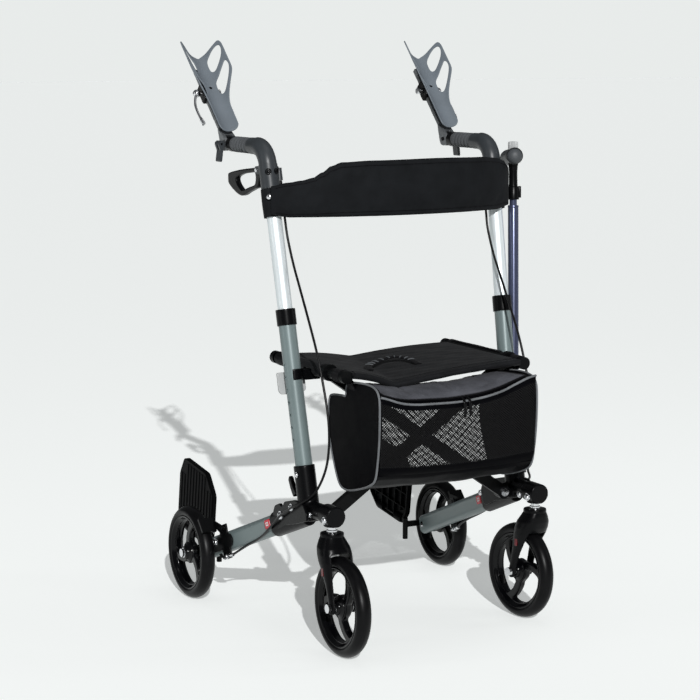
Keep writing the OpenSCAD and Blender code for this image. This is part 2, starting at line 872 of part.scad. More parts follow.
module forearm_trough(side) {
    end = trough_start + trough_len;
    saddle_top = trough_z + trough_wall / 2;
    color("#5d646b") on_side(side) at_forearm() difference() {
        union() {
            difference() {
                intersection() {
                    translate([0, end, 0]) rotate([90, 0, 0]) linear_extrude(trough_len)
                        trough_section();
                    side_slab(4 * trough_r) polygon(trough_points(trough_outline_shares));
                    translate([0, trough_start + trough_r, 0]) union() {
                        cylinder(r = trough_r, h = trough_len, center = true);
                        translate([-2 * trough_r, 0, -trough_len / 2])
                            cube([4 * trough_r, trough_len, trough_len]);
                    }
                }
                for (window = [upper_window_shares, lower_window_shares])
                    side_slab(4 * trough_r) polygon(trough_points(window));
            }
            translate([-saddle_w / 2, saddle_y - saddle_len / 2, carrier_z - carrier_t / 2 - saddle_foot])
                cube([saddle_w, saddle_len, saddle_top - carrier_z + carrier_t / 2 + saddle_foot]);
            translate([saddle_w / 2 - over, saddle_y, skewer_z()])
                rotate([0, 90, 0]) cylinder(d = skewer_d, h = skewer_x() - saddle_w / 2 + over);
            translate([skewer_x(), saddle_y, skewer_z() - cam_room - cam_t])
                cylinder(d = cam_pin_d, h = 2 * (cam_room + cam_t));
        }
        translate([-carrier_w / 2 - air_gap, -trough_len, carrier_z - carrier_t / 2 - air_gap])
            cube([carrier_w + 2 * air_gap, 3 * trough_len, carrier_t + 2 * air_gap]);
    }
}
function skewer_x() = saddle_w / 2 + cam_d / 2 + slide_stop;
function skewer_z() = carrier_z;

module slide_lever(side) {
    color("#c3c8cb") on_side(side) at_forearm() translate([skewer_x(), saddle_y, skewer_z()])
        difference() {
        union() {
            for (end = [-1, 1]) translate([0, 0, end * (cam_room + cam_t / 2)])
                linear_extrude(cam_t, center = true)
                taper([0, 0], cam_d, [0, -cam_d], slide_lever_t - over);
            linear_extrude(2 * (cam_room + cam_t), center = true)
                taper([0, -cam_d], slide_lever_t, [2 * slide_lever_t, -slide_lever_len], slide_lever_t);
        }
        cylinder(d = cam_pin_d + 2 * run_gap, h = 4 * cam_d, center = true);
    }
}

// Brakes

// Outline of the lever's loop and of its finger gap, as shares of its length and of its root's height
brake_outer_shares = [
    [0, 0.1], [0.6, -0.1], [0.88, -0.3], [1, -0.5], [1, -0.9], [0.8, -1.25], [0.62, -1.45], [0.5, -1.4],
    [0.06, -0.9],
    [-0.04, -0.3]
];
brake_gap_shares = [
    [0.12, -0.15], [0.55, -0.33], [0.74, -0.56], [0.7, -0.86], [0.56, -1.12], [0.12, -0.72]
];
function brake_points(shares) =
    [for (s = shares) [brake_pivot_y + s[0] * brake_len, brake_pivot_z + s[1] * brake_h]];

module brake_lever(side) {
    color("#121315") on_side(side) at_elbow() difference() {
        union() {
            side_slab(brake_w) difference() {
                polygon(brake_points(brake_outer_shares));
                polygon(brake_points(brake_gap_shares));
            }
            translate([0, brake_pivot_y, brake_pivot_z]) rod_x(ear_d, brake_w);
        }
        translate([0, brake_pivot_y, brake_pivot_z]) rod_x(brake_pin_d + 2 * run_gap, 2 * brake_w);
        at_upright_in_elbow() translate([0, 0, -upright_len / 2])
            cylinder(d = elbow_foot_d + 2 * air_gap, h = upright_len);
    }
}
// The upright's axis, seen from the elbow's own place
module at_upright_in_elbow() {
    rotate([-rake, 0, 0]) children();
}

function cable_top() = let (s = elbow_foot + cable_boss_rise - cable_gap) [
    foot_x - cable_boss_x * cos(lean) + s * cos(rake) * sin(lean),
    foot_y + s * sin(rake),
    foot_z + cable_boss_x * sin(lean) + s * cos(rake) * cos(lean)
];
function cable_route() = concat(
    [for (c = cable_shares)
        cable_low + c[0] * (cable_top() - cable_low) + c[1] * [-cable_side, cable_bow, 0]],
    cable_tail
);
// Arm that presses a shoe on the rear tyre
module brake_arm(side) {
    arm_x = leg_x + leg_w / 2 + bracket_t + air_gap + arm_t / 2;
    reach = wheel_r + shoe_gap;
    shoe_y = axle_y - reach * cos(shoe_angle);
    shoe_z = wheel_r + reach * sin(shoe_angle);
    lift = [-cos(shoe_angle), sin(shoe_angle)] * shoe_t / 2;
    color("#1b1c1e") on_side(side) difference() {
        union() {
            translate([arm_x, 0, 0]) side_slab(arm_t)
                taper([arm_pivot_y, arm_pivot_z], arm_d, [shoe_y, shoe_z] + 2 * lift, 2 * shoe_t);
            translate([wheel_x, shoe_y, shoe_z]) rotate([90 - shoe_angle, 0, 0])
                translate([-shoe_w / 2 - (wheel_x - arm_x - shoe_w / 2), -shoe_len / 2, 0])
                cube([shoe_w / 2 + wheel_x - arm_x, shoe_len, shoe_t]);
        }
        translate([arm_x, arm_pivot_y, arm_pivot_z]) rod_x(arm_pin_d + 2 * run_gap, 4 * arm_t);
        at_rear_wheel(LEFT) rod_x(wheel_d + 2 * shoe_gap, 4 * tyre_w);
    }
}

module brake_cable(side) {
    color("#2a2b2d") on_side(side) swept_tube(cable_route(), cable_d, cable_sides);
}

// Foot plates

// A ribbed plate that stands up beside the wheel and swings down inwards
module foot_plate(side) {
    eye_end = plate_start + plate_len - plate_chamfer;
    color("#141517") on_side(side) at_plate() difference() {
        union() {
            difference() {
                side_slab(plate_t) polygon([
                    [plate_start + plate_chamfer / 2, -hinge_eye_d / 2],
                    [plate_start + plate_len - plate_chamfer, -hinge_eye_d / 2],
                    [plate_start + plate_len, plate_chamfer / 2],
                    [plate_start + plate_len, plate_h - plate_chamfer],
                    [plate_start + plate_len - plate_chamfer / 2, plate_h],
                    [plate_start + plate_chamfer, plate_h],
                    [plate_start, plate_h - plate_chamfer],
                    [plate_start, plate_chamfer / 2]
                ]);
                for (i = [0 : plate_ribs - 1]) let (pitch = (plate_len - 2 * plate_rib_t) / plate_ribs)
                    translate([-plate_t, plate_start + 1.5 * plate_rib_t + i * pitch, plate_chamfer / 2])
                    cube([2 * plate_t - plate_t / 2 - plate_skin, pitch - plate_rib_t,
                        plate_h - 2 * plate_chamfer]);
            }
            for (y = [plate_start + plate_chamfer / 2, eye_end - hinge_eye_len])
                translate([0, y, 0]) rod_y(hinge_eye_d, hinge_eye_len);
        }
        translate([0, -plate_len, 0]) rod_y(hinge_d + 2 * run_gap, 3 * plate_len);
    }
}

// Release button that passes through the rear leg
module release_button(side) {
    color("#c0182b") on_side(side) at_leg() translate([0, button_y, button_z])
        cube([leg_w + 2 * button_proud, button_h, button_len], center = true);
}

// Brace and seat

module brace(y) {
    eye = rail_d + 2 * rail_eye_wall;
    translate([0, y, 0]) difference() {
        front_slab(brace_t) union() {
            translate([-rail_x, pivot_z]) rotate([0, 0, brace_angle]) translate([0, -brace_h / 2])
                square([brace_len, brace_h]);
            translate([-rail_x, pivot_z]) circle(d = pivot_eye_d);
            translate([rail_x, rail_z]) circle(d = eye);
        }
        translate([-rail_x, -brace_t, pivot_z]) rod_y(pivot_d + 2 * run_gap, 2 * brace_t);
        translate([rail_x, -brace_t, rail_z]) rod_y(rail_d + 2 * run_gap, 2 * brace_t);
    }
}

module centre_pin() {
    span = 2 * brace_t + brace_gap;
    translate([0, brace_y, pivot_z + brace_rise / 2]) {
        translate([0, -span / 2, 0]) rod_y(pivot_d, span + air_gap + pivot_head_h);
        translate([0, -span / 2 - pivot_head_h, 0]) rod_y(pivot_head_d, pivot_head_h);
        translate([0, span / 2 + air_gap, 0]) rod_y(pivot_head_d, pivot_head_h);
    }
}

module brace_a() {
    color("#1a1b1d") {
        brace(brace_a_y);
        centre_pin();
    }
}

module brace_b() {
    color("#1a1b1d") difference() {
        mirror([1, 0, 0]) brace(brace_b_y);
        translate([0, brace_b_y - brace_t, pivot_z + brace_rise / 2])
            rod_y(pivot_d + 2 * run_gap, 2 * brace_t);
    }
}

// A seat rail with a cap on each end
module seat_rail(side) {
    color("#161719") on_side(side) translate([rail_x, rail_front, rail_z]) {
        rod_y(rail_d, rail_len);
        for (y = [0, rail_len - rail_cap]) translate([0, y, 0])
            rod_y(rail_d + 2 * rail_cap_wall, rail_cap);
    }
}

// Top of the seat: two slightly crowned panels that meet in a slanting crease
function crease_x(v) = crease_front_x + v * (crease_rear_x - crease_front_x);
function crease_drop(v) = crease_front_drop + v * (crease_rear_drop - crease_front_drop);
function seat_top(x, v) =
    let (fold = crease_x(v), edge = x < fold ? -seat_edge : seat_edge, out = (x - fold) / (edge - fold))
    rail_z + rail_d / 2 - crease_drop(v) * (1 - out) + seat_crown * sin(180 * out);
seat_columns = 20;
seat_rows = 10;
module seat_panel() {
    xs = [for (i = [0 : seat_columns]) -seat_edge + 2 * seat_edge * i / seat_columns];
    vs = [for (j = [0 : seat_rows]) j / seat_rows];
    across = seat_columns + 1;
    count = across * (seat_rows + 1);
    tops = [for (v = vs, x = xs) [x, seat_front + v * (seat_rear - seat_front), seat_top(x, v)]];
    lows = [for (p = tops) p - [0, 0, seat_t]];
    cells = [for (j = [0 : seat_rows - 1], i = [0 : seat_columns - 1]) j * across + i];
    top_faces = [for (c = cells) each [[c, c + across, c + across + 1], [c, c + across + 1, c + 1]]];
    low_faces = [for (f = top_faces) [f[0] + count, f[2] + count, f[1] + count]];
    rim_loop = concat(
        [for (i = [0 : seat_columns]) i],
        [for (j = [1 : seat_rows]) j * across + seat_columns],
        [for (i = [1 : seat_columns]) seat_rows * across + seat_columns - i],
        [for (j = [1 : seat_rows - 1]) (seat_rows - j) * across]
    );
    rim_faces = [for (k = [0 : len(rim_loop) - 1])
        let (a = rim_loop[k], b = rim_loop[(k + 1) % len(rim_loop)])
        each [[a, b, b + count], [a, b + count, a + count]]];
    polyhedron(concat(tops, lows), concat(top_faces, low_faces, rim_faces));
}

module seat_sling() {
    outer = rail_d + 2 * air_gap + 2 * seat_wall;
    color("#33363b") {
        difference() {
            union() {
                seat_panel();
                for (end = [-1, 1]) translate([end * rail_x, sleeve_front, rail_z]) {
                    rod_y(outer, seat_rear - sleeve_front);
                    translate([end > 0 ? seat_edge - rail_x - over : 0, 0, rail_d / 2 - seat_drop])
                        cube([rail_x - seat_edge + over, seat_rear - sleeve_front, seat_drop]);
                }
            }
            for (end = [-1, 1]) {
                translate([end * rail_x, seat_front - over, rail_z])
                    rod_y(rail_d + 2 * air_gap, seat_rear - seat_front + 2 * over);
                translate([end * rail_x, hook_y(), rail_z - rail_d + air_gap])
                    cube([2 * rail_d, 2 * hook_w, 2 * rail_d], center = true);
            }
        }
    }
}

// Outline of the bag's side panels, as shares of its depth forward from its rear and of its height
bag_side_shares = [
    [0.143, 1.083], [0.55, 1.107], [0.807, 1.093], [0.929, 1.034], [0.964, 0.912], [0.957, 0.629],
    [0.914, 0.395], [0.836, 0.21], [0.621, 0.122], [0.221, 0.039], [-0.057, 0.015], [-0.229, 0.063],
    [-0.379, 0.239], [-0.5, 0.463], [-0.543, 0.712], [-0.521, 0.863], [-0.421, 0.917], [-0.136, 0.935],
    [-0.025, 0.94], [0, 1.039]
];
// Front bag: a rounded body in front of the brace, side flaps past it and straps over the rails
module front_bag() {
    front = bag_rear - bag_depth;
    foot = bag_top - bag_h;
    strap_drop = rail_z - rail_d / 2 - bag_top + bag_round + 2 * strap_wall;
    corners = [
        [front + bag_round, bag_top - bag_front_drop - bag_round],
        [bag_rear - bag_round, bag_top - bag_round],
        [bag_rear - bag_round, foot + bag_round], [front + bag_round, foot + bag_front_rise + bag_round]
    ];
    color("#111214") {
        hull() side_slab(bag_w) for (c = corners) translate(c) circle(r = bag_round, $fn = hull_fn);
        for (end = [-1, 1]) {
            translate([end * (bag_w - flap_t) / 2, 0, 0]) side_slab(flap_t)
                polygon([for (s = bag_side_shares) [bag_rear - s[0] * bag_depth, foot + s[1] * bag_h]]);
            difference() {
                union() {
                    translate([end * rail_x, strap_y - strap_w / 2, rail_z])
                        rod_y(rail_d + 2 * air_gap + 2 * strap_wall, strap_w);
                    translate([end * (strap_x + rail_x) / 2, strap_y, rail_z - rail_d / 2])
                        cube([rail_x - strap_x, strap_w, 2 * strap_wall], center = true);
                    translate([end * strap_x, strap_y, (rail_z - rail_d / 2 + bag_top - bag_round) / 2])
                        cube([2 * strap_wall, strap_w, strap_drop], center = true);
                }
                translate([end * rail_x, strap_y - strap_w, rail_z])
                    rod_y(rail_d + 2 * air_gap, 2 * strap_w);
            }
        }
    }
}

// Top edge of the band from the user's left to the right, as shares of the half span and of its height
band_top_shares = [
    [1.08, 0.72], [1.05, 0.86], [0.95, 0.95], [0.4, 1], [-0.5, 0.97], [-0.62, 0.9], [-0.69, 0.74],
    [-0.85, 0.66], [-1.08, 0.6]
];
// Backrest band: an arc that bows forward between the handle tubes, with a sleeve round each
module backrest_band() {
    end_x = foot_x + band_foot_s * cos(rake) * sin(lean);
    tube_y = foot_y + (band_foot_s + band_end_h / 2) * sin(rake);
    end_y = tube_y - elbow_foot_d / 2 - air_gap - band_t;
    foot = foot_z + band_foot_s * cos(rake);
    arc_r = (end_x * end_x + band_bow * band_bow) / (2 * band_bow);
    wrap_bore = handle_d + 2 * air_gap;
    wrap_d = wrap_bore + 2 * band_sleeve_wall;
    wrap_h = elbow_foot - band_foot_s - air_gap;
    color("#1d1f23") difference() {
        union() {
            intersection() {
                translate([0, end_y - band_bow + arc_r, foot]) difference() {
                    cylinder(r = arc_r + band_t / 2, h = band_h, $fn = 4 * hull_fn);
                    translate([0, 0, -over])
                        cylinder(r = arc_r - band_t / 2, h = band_h + 2 * over, $fn = 4 * hull_fn);
                }
                translate([0, end_y - band_bow, 0]) front_slab(4 * band_bow + band_t) polygon(concat(
                    [[-band_top_shares[0][0] * end_x, foot], [band_top_shares[0][0] * end_x, foot]],
                    [for (s = band_top_shares) [s[0] * end_x, foot + s[1] * band_h]]
                ));
            }
            for (side = [LEFT, RIGHT]) on_side(side) at_upright() translate([0, 0, band_foot_s]) {
                cylinder(d = wrap_d, h = wrap_h);
                translate([-handle_r / 2, -wrap_d / 2 - band_t, 0])
                    cube([handle_r, wrap_d / 2 + band_t, wrap_h]);
            }
        }
        for (side = [LEFT, RIGHT]) on_side(side) at_upright() {
            translate([0, 0, band_foot_s - band_h]) cylinder(d = wrap_bore, h = 3 * band_h);
            translate([0, 0, elbow_foot - air_gap])
                cylinder(d = elbow_foot_d + 2 * air_gap, h = band_h);
        }
    }
}

// Cane

// z runs up the cane, beside the user's left upright
module at_cane() {
    translate([foot_x + cane_out, foot_y + cane_back, foot_z - cane_drop])
        rotate([-cane_rake, cane_lean, 0])
        children();
}
function on_upright(s) =
    [foot_x + s * cos(rake) * sin(lean), foot_y + s * sin(rake), foot_z + s * cos(rake) * cos(lean)];
function on_cane(z) = let (t = (z - foot_z + cane_drop) / (cos(cane_rake) * cos(cane_lean)))
    [foot_x + cane_out + t * cos(cane_rake) * sin(cane_lean), foot_y + cane_back + t * sin(cane_rake), z];
function cane_along(z) = (z - foot_z + cane_drop) / (cos(cane_rake) * cos(cane_lean));

module cane_shaft() {
    color("#7f7ba3") at_cane() union() {
        cylinder(d = cane_tip_d - over, h = cane_tip_h);
        cylinder(d = cane_d, h = cane_joint);
        cylinder(d = cane_upper_d, h = cane_len - cane_neck_h / 2);
    }
}

module cane_handle() {
    neck_foot = cane_len - cane_neck_h;
    color("#4a4d50") at_cane() rotate([0, 0, -cane_turn]) difference() {
        union() {
            translate([0, 0, neck_foot]) cylinder(d = cane_neck_d, h = cane_neck_h);
            translate([0, 0, neck_foot]) cylinder(d = cane_collar_d, h = cane_collar_h);
            translate([0, -cane_nose, cane_len]) {
                rod_y(cane_grip_d, cane_grip_len);
                for (y = [0, cane_grip_len]) translate([0, y, 0]) sphere(d = cane_grip_d);
            }
        }
        translate([0, 0, neck_foot - over])
            cylinder(d = cane_upper_d + 2 * fit_gap, h = over + cane_neck_h / 2 + fit_gap);
    }
}

// An arm from the upright to the cane at the same height
module holder_arm(s, h) {
    from = on_upright(s);
    reach = on_cane(from[2]) - from;
    translate(from) rotate([0, 0, atan2(reach[1], reach[0])]) translate([0, -arm_w / 2, -h / 2])
        cube([norm(reach), arm_w, h]);
}

// A cup under the cane's tip and a clip round its tube, each with an arm from a band on the lower tube
module cane_holder() {
    cup_d = cane_tip_d + 2 * air_gap + 2 * cup_wall;
    socket_d = upright_d + 2 * socket_wall + 2 * fit_gap;
    ring_d = cane_d + 2 * air_gap;
    ring_at = cane_along(on_upright(clip_s)[2]);
    color("#131416") {
        difference() {
            union() {
                at_cane() translate([0, 0, -cup_floor - air_gap]) cylinder(d = cup_d, h = cup_depth);
                at_upright() translate([0, 0, cup_band_s])
                    cylinder(d = socket_d + 2 * band_wall, h = cup_depth / 2);
                holder_arm(cup_band_s + cup_depth / 4, cup_depth / 3);
            }
            at_cane() translate([0, 0, -air_gap])
                cylinder(d = cup_d - 2 * cup_wall, h = cup_depth + over);
            at_upright() translate([0, 0, cup_band_s - cup_depth])
                cylinder(d = socket_d, h = 3 * cup_depth);
        }
        difference() {
            union() {
                at_upright() translate([0, 0, clip_s - clip_h / 2])
                    cylinder(d = upright_d + 2 * clip_wall, h = clip_h);
                at_cane() translate([0, 0, ring_at - clip_h / 2])
                    cylinder(d = ring_d + 2 * clip_wall, h = clip_h);
                holder_arm(clip_s, clip_h / 2);
            }
            at_upright() translate([0, 0, clip_s - 2 * clip_h])
                cylinder(d = upright_d + 2 * fit_gap, h = 4 * clip_h);
            at_cane() translate([0, 0, ring_at - 2 * clip_h]) cylinder(d = ring_d, h = 4 * clip_h);
        }
    }
}

frame_joint(RIGHT);  // frame_joint_r
upright_tube(RIGHT);  // upright_tube_r
upright_clamps(RIGHT);  // upright_clamps_r
rear_leg(RIGHT);  // rear_leg_r
rear_bracket(RIGHT);  // rear_bracket_r
frame_bolts(RIGHT);  // frame_bolts_r
caster_fork(RIGHT);  // caster_fork_r
caster_bolts(RIGHT);  // caster_bolts_r
caster_tyre(RIGHT);  // caster_tyre_r
caster_rim(RIGHT);  // caster_rim_r
rear_tyre(RIGHT);  // rear_tyre_r
rear_rim(RIGHT);  // rear_rim_r
handle_tube(RIGHT);  // handle_tube_r
handle_elbow(RIGHT);  // handle_elbow_r
grip(RIGHT);  // grip_r
tilt_clamp(RIGHT);  // tilt_clamp_r
tilt_lever(RIGHT);  // tilt_lever_r
forearm_carrier(RIGHT);  // forearm_carrier_r
forearm_trough(RIGHT);  // forearm_trough_r
slide_lever(RIGHT);  // slide_lever_r
brake_lever(RIGHT);  // brake_lever_r
brake_arm(RIGHT);  // brake_arm_r
brake_cable(RIGHT);  // brake_cable_r
foot_plate(RIGHT);  // foot_plate_r
release_button(RIGHT);  // release_button_r
frame_joint(LEFT);  // frame_joint_l
upright_tube(LEFT);  // upright_tube_l
upright_clamps(LEFT);  // upright_clamps_l
rear_leg(LEFT);  // rear_leg_l
rear_bracket(LEFT);  // rear_bracket_l
frame_bolts(LEFT);  // frame_bolts_l
caster_fork(LEFT);  // caster_fork_l
caster_bolts(LEFT);  // caster_bolts_l
caster_tyre(LEFT);  // caster_tyre_l
caster_rim(LEFT);  // caster_rim_l
rear_tyre(LEFT);  // rear_tyre_l
rear_rim(LEFT);  // rear_rim_l
handle_tube(LEFT);  // handle_tube_l
handle_elbow(LEFT);  // handle_elbow_l
grip(LEFT);  // grip_l
tilt_clamp(LEFT);  // tilt_clamp_l
tilt_lever(LEFT);  // tilt_lever_l
forearm_carrier(LEFT);  // forearm_carrier_l
forearm_trough(LEFT);  // forearm_trough_l
slide_lever(LEFT);  // slide_lever_l
brake_lever(LEFT);  // brake_lever_l
brake_arm(LEFT);  // brake_arm_l
brake_cable(LEFT);  // brake_cable_l
foot_plate(LEFT);  // foot_plate_l
release_button(LEFT);  // release_button_l
brace_a();
brace_b();
seat_rail(RIGHT);  // seat_rail_r
seat_rail(LEFT);  // seat_rail_l
seat_sling();
front_bag();
backrest_band();
cane_handle();
cane_shaft();
cane_holder();
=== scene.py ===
"""Looks of the upright walker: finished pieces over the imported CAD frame, in metres."""

import json
import math

import bmesh
import bpy
from mathutils import Matrix, Vector
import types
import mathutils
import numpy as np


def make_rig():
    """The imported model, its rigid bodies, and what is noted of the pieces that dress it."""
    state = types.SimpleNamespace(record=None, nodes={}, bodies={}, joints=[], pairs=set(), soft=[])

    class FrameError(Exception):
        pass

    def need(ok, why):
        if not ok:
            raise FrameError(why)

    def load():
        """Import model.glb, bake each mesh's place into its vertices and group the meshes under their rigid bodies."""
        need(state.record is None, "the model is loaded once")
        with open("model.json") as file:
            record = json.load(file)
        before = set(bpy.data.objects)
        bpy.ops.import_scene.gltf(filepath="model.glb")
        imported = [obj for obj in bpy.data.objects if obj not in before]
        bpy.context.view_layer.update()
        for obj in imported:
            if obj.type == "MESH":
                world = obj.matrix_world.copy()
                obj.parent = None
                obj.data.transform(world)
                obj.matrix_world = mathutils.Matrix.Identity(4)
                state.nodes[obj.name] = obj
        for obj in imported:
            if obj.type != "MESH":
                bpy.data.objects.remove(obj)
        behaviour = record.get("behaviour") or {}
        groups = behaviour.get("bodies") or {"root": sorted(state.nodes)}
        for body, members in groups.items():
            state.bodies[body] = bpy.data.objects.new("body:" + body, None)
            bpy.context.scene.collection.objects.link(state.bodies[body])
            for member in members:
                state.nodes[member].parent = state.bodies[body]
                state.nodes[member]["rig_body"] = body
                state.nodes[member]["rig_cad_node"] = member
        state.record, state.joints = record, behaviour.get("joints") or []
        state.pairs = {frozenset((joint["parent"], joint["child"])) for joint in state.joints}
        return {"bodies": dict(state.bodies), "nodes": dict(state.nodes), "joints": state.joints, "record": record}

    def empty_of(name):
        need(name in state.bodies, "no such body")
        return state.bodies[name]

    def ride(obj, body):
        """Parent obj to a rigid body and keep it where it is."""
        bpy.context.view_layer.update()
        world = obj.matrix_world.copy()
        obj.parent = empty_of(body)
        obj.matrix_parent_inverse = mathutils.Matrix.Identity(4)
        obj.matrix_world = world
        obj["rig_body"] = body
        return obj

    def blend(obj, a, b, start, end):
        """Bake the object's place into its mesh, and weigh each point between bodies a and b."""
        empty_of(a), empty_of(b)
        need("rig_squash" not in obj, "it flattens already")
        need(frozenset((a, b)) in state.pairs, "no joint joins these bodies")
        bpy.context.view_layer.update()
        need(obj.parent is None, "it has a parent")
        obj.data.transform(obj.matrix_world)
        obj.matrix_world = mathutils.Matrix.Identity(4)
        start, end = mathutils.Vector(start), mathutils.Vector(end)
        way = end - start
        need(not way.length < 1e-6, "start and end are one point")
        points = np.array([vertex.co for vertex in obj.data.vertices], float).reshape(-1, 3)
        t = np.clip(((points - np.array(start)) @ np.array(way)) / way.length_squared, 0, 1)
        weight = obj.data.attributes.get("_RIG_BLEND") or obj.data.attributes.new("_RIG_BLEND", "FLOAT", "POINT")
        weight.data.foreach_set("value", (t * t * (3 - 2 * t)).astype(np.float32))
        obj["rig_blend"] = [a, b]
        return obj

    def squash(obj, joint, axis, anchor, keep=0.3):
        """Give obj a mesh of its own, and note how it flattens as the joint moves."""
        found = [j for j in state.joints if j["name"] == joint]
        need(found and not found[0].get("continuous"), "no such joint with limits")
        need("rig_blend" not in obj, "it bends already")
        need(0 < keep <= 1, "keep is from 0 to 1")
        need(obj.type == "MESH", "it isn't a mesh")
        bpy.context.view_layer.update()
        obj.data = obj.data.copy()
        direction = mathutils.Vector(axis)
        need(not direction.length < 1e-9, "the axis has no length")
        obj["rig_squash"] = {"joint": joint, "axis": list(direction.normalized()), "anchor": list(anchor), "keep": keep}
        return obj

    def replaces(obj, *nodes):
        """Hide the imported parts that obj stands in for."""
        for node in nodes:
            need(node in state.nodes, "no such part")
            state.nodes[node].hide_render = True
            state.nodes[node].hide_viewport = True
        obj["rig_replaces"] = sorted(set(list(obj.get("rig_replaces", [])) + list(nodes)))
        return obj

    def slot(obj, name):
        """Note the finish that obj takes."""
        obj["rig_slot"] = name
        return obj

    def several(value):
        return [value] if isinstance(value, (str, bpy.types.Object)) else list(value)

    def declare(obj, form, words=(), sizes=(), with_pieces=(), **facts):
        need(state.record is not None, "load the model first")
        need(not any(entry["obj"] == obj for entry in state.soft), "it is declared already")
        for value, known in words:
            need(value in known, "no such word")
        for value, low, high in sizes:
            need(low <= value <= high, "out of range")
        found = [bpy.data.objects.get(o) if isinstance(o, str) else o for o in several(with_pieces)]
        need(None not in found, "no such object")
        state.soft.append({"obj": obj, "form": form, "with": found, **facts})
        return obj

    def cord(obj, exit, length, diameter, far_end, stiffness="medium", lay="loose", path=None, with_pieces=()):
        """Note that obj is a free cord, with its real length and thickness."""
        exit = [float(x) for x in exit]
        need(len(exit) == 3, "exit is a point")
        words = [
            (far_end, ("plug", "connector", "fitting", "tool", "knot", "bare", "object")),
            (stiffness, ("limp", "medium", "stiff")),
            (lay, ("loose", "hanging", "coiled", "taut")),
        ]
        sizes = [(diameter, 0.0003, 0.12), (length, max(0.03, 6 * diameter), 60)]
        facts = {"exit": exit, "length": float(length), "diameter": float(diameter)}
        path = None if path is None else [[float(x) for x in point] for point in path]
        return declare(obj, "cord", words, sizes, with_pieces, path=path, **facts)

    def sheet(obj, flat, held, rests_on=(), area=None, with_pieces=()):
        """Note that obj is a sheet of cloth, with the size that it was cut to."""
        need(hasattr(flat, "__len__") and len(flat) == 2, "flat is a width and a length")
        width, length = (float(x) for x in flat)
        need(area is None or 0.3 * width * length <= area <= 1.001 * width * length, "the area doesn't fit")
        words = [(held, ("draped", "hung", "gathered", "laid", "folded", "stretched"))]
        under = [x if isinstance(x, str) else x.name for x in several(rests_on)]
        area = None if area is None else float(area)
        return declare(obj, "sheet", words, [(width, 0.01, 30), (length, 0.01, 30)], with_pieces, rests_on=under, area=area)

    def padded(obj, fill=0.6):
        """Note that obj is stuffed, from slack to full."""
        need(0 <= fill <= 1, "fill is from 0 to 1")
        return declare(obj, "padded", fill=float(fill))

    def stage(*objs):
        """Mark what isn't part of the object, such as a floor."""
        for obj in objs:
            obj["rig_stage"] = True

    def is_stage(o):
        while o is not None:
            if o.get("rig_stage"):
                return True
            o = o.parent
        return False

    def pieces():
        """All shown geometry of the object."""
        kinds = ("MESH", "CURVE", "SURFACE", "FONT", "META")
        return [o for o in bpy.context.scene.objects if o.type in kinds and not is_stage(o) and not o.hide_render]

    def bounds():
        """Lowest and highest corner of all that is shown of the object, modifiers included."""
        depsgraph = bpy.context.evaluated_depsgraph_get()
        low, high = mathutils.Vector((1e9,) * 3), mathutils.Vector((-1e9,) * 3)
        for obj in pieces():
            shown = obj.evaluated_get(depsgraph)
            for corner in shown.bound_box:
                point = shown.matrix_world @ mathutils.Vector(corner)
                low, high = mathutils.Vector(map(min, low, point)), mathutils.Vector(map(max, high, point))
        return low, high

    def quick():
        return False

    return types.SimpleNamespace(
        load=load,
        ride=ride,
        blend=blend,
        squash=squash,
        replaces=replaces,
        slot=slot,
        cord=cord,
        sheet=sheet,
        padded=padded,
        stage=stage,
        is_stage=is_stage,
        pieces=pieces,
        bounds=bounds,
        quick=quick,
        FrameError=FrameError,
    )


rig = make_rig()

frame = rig.load()
cad_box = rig.bounds()
NODES = frame["nodes"]
SIDES = {"r": -1, "l": 1}
MM = 0.001
STILL = Matrix.Identity(4)

# Camera, fitted to the photograph: degrees, metres and pixels

CAM_YAW, CAM_PITCH, CAM_ROLL = 28.1917, 8.2085, 0.131
CAM_AT = (-2.136088, -3.870099, 1.192704)
FOCAL_PX, PHOTO_PX, SENSOR_MM = 2117.5, 700, 36


def make_camera():
    yaw, pitch, roll = (math.radians(a) for a in (CAM_YAW, CAM_PITCH, CAM_ROLL))
    ahead = Vector((math.sin(yaw) * math.cos(pitch), math.cos(yaw) * math.cos(pitch), -math.sin(pitch)))
    right = Vector((math.cos(yaw), -math.sin(yaw), 0))
    up = right.cross(ahead)
    right, up = (
        math.cos(roll) * right + math.sin(roll) * up,
        math.cos(roll) * up - math.sin(roll) * right,
    )
    cam = bpy.data.cameras.new("camera")
    cam.sensor_width = SENSOR_MM
    cam.lens = FOCAL_PX / PHOTO_PX * SENSOR_MM
    cam.clip_end = 100
    ob = linked("camera", cam)
    turn = Matrix((right, up, -ahead)).transposed().to_4x4()
    ob.matrix_world = Matrix.Translation(CAM_AT) @ turn
    bpy.context.scene.camera = ob


# Floor and light

BACKDROP = (0.81, 0.835, 0.825)
WORLD_TINT, WORLD_POWER = (0.95, 0.98, 1.0), 0.11
FLOOR, FLOOR_GLOW, FLOOR_SIZE, FLOOR_Z = (0.88, 0.90, 0.89), 0.395, 60, -0.0005
KEY_TOWARD, KEY_POWER, KEY_SPREAD = Vector((0.32, 0.84, -0.445)), 3.2, 0.6
SOFTBOX_AIM = Vector((0, 0, 0.6))
# Name, place, width and height, and power
SOFTBOXES = [
    ("softbox_left", (-3.4, 0.2, 1.5), (0.6, 2.6), 8),
    ("softbox_right", (3.0, -1.4, 1.9), (0.7, 2.4), 8),
    ("softbox_top", (0.2, -0.4, 3.4), (1.6, 1.6), 6),
]


def set_inputs(node, values):
    for key, value in values.items():
        node.inputs[key].default_value = value


def combined(tree, operation, first, second):
    """A math node on an output and on a second output or a number."""
    node = tree.nodes.new("ShaderNodeMath")
    node.operation = operation
    tree.links.new(first, node.inputs[0])
    if isinstance(second, float):
        node.inputs[1].default_value = second
    else:
        tree.links.new(second, node.inputs[1])
    return node.outputs[0]


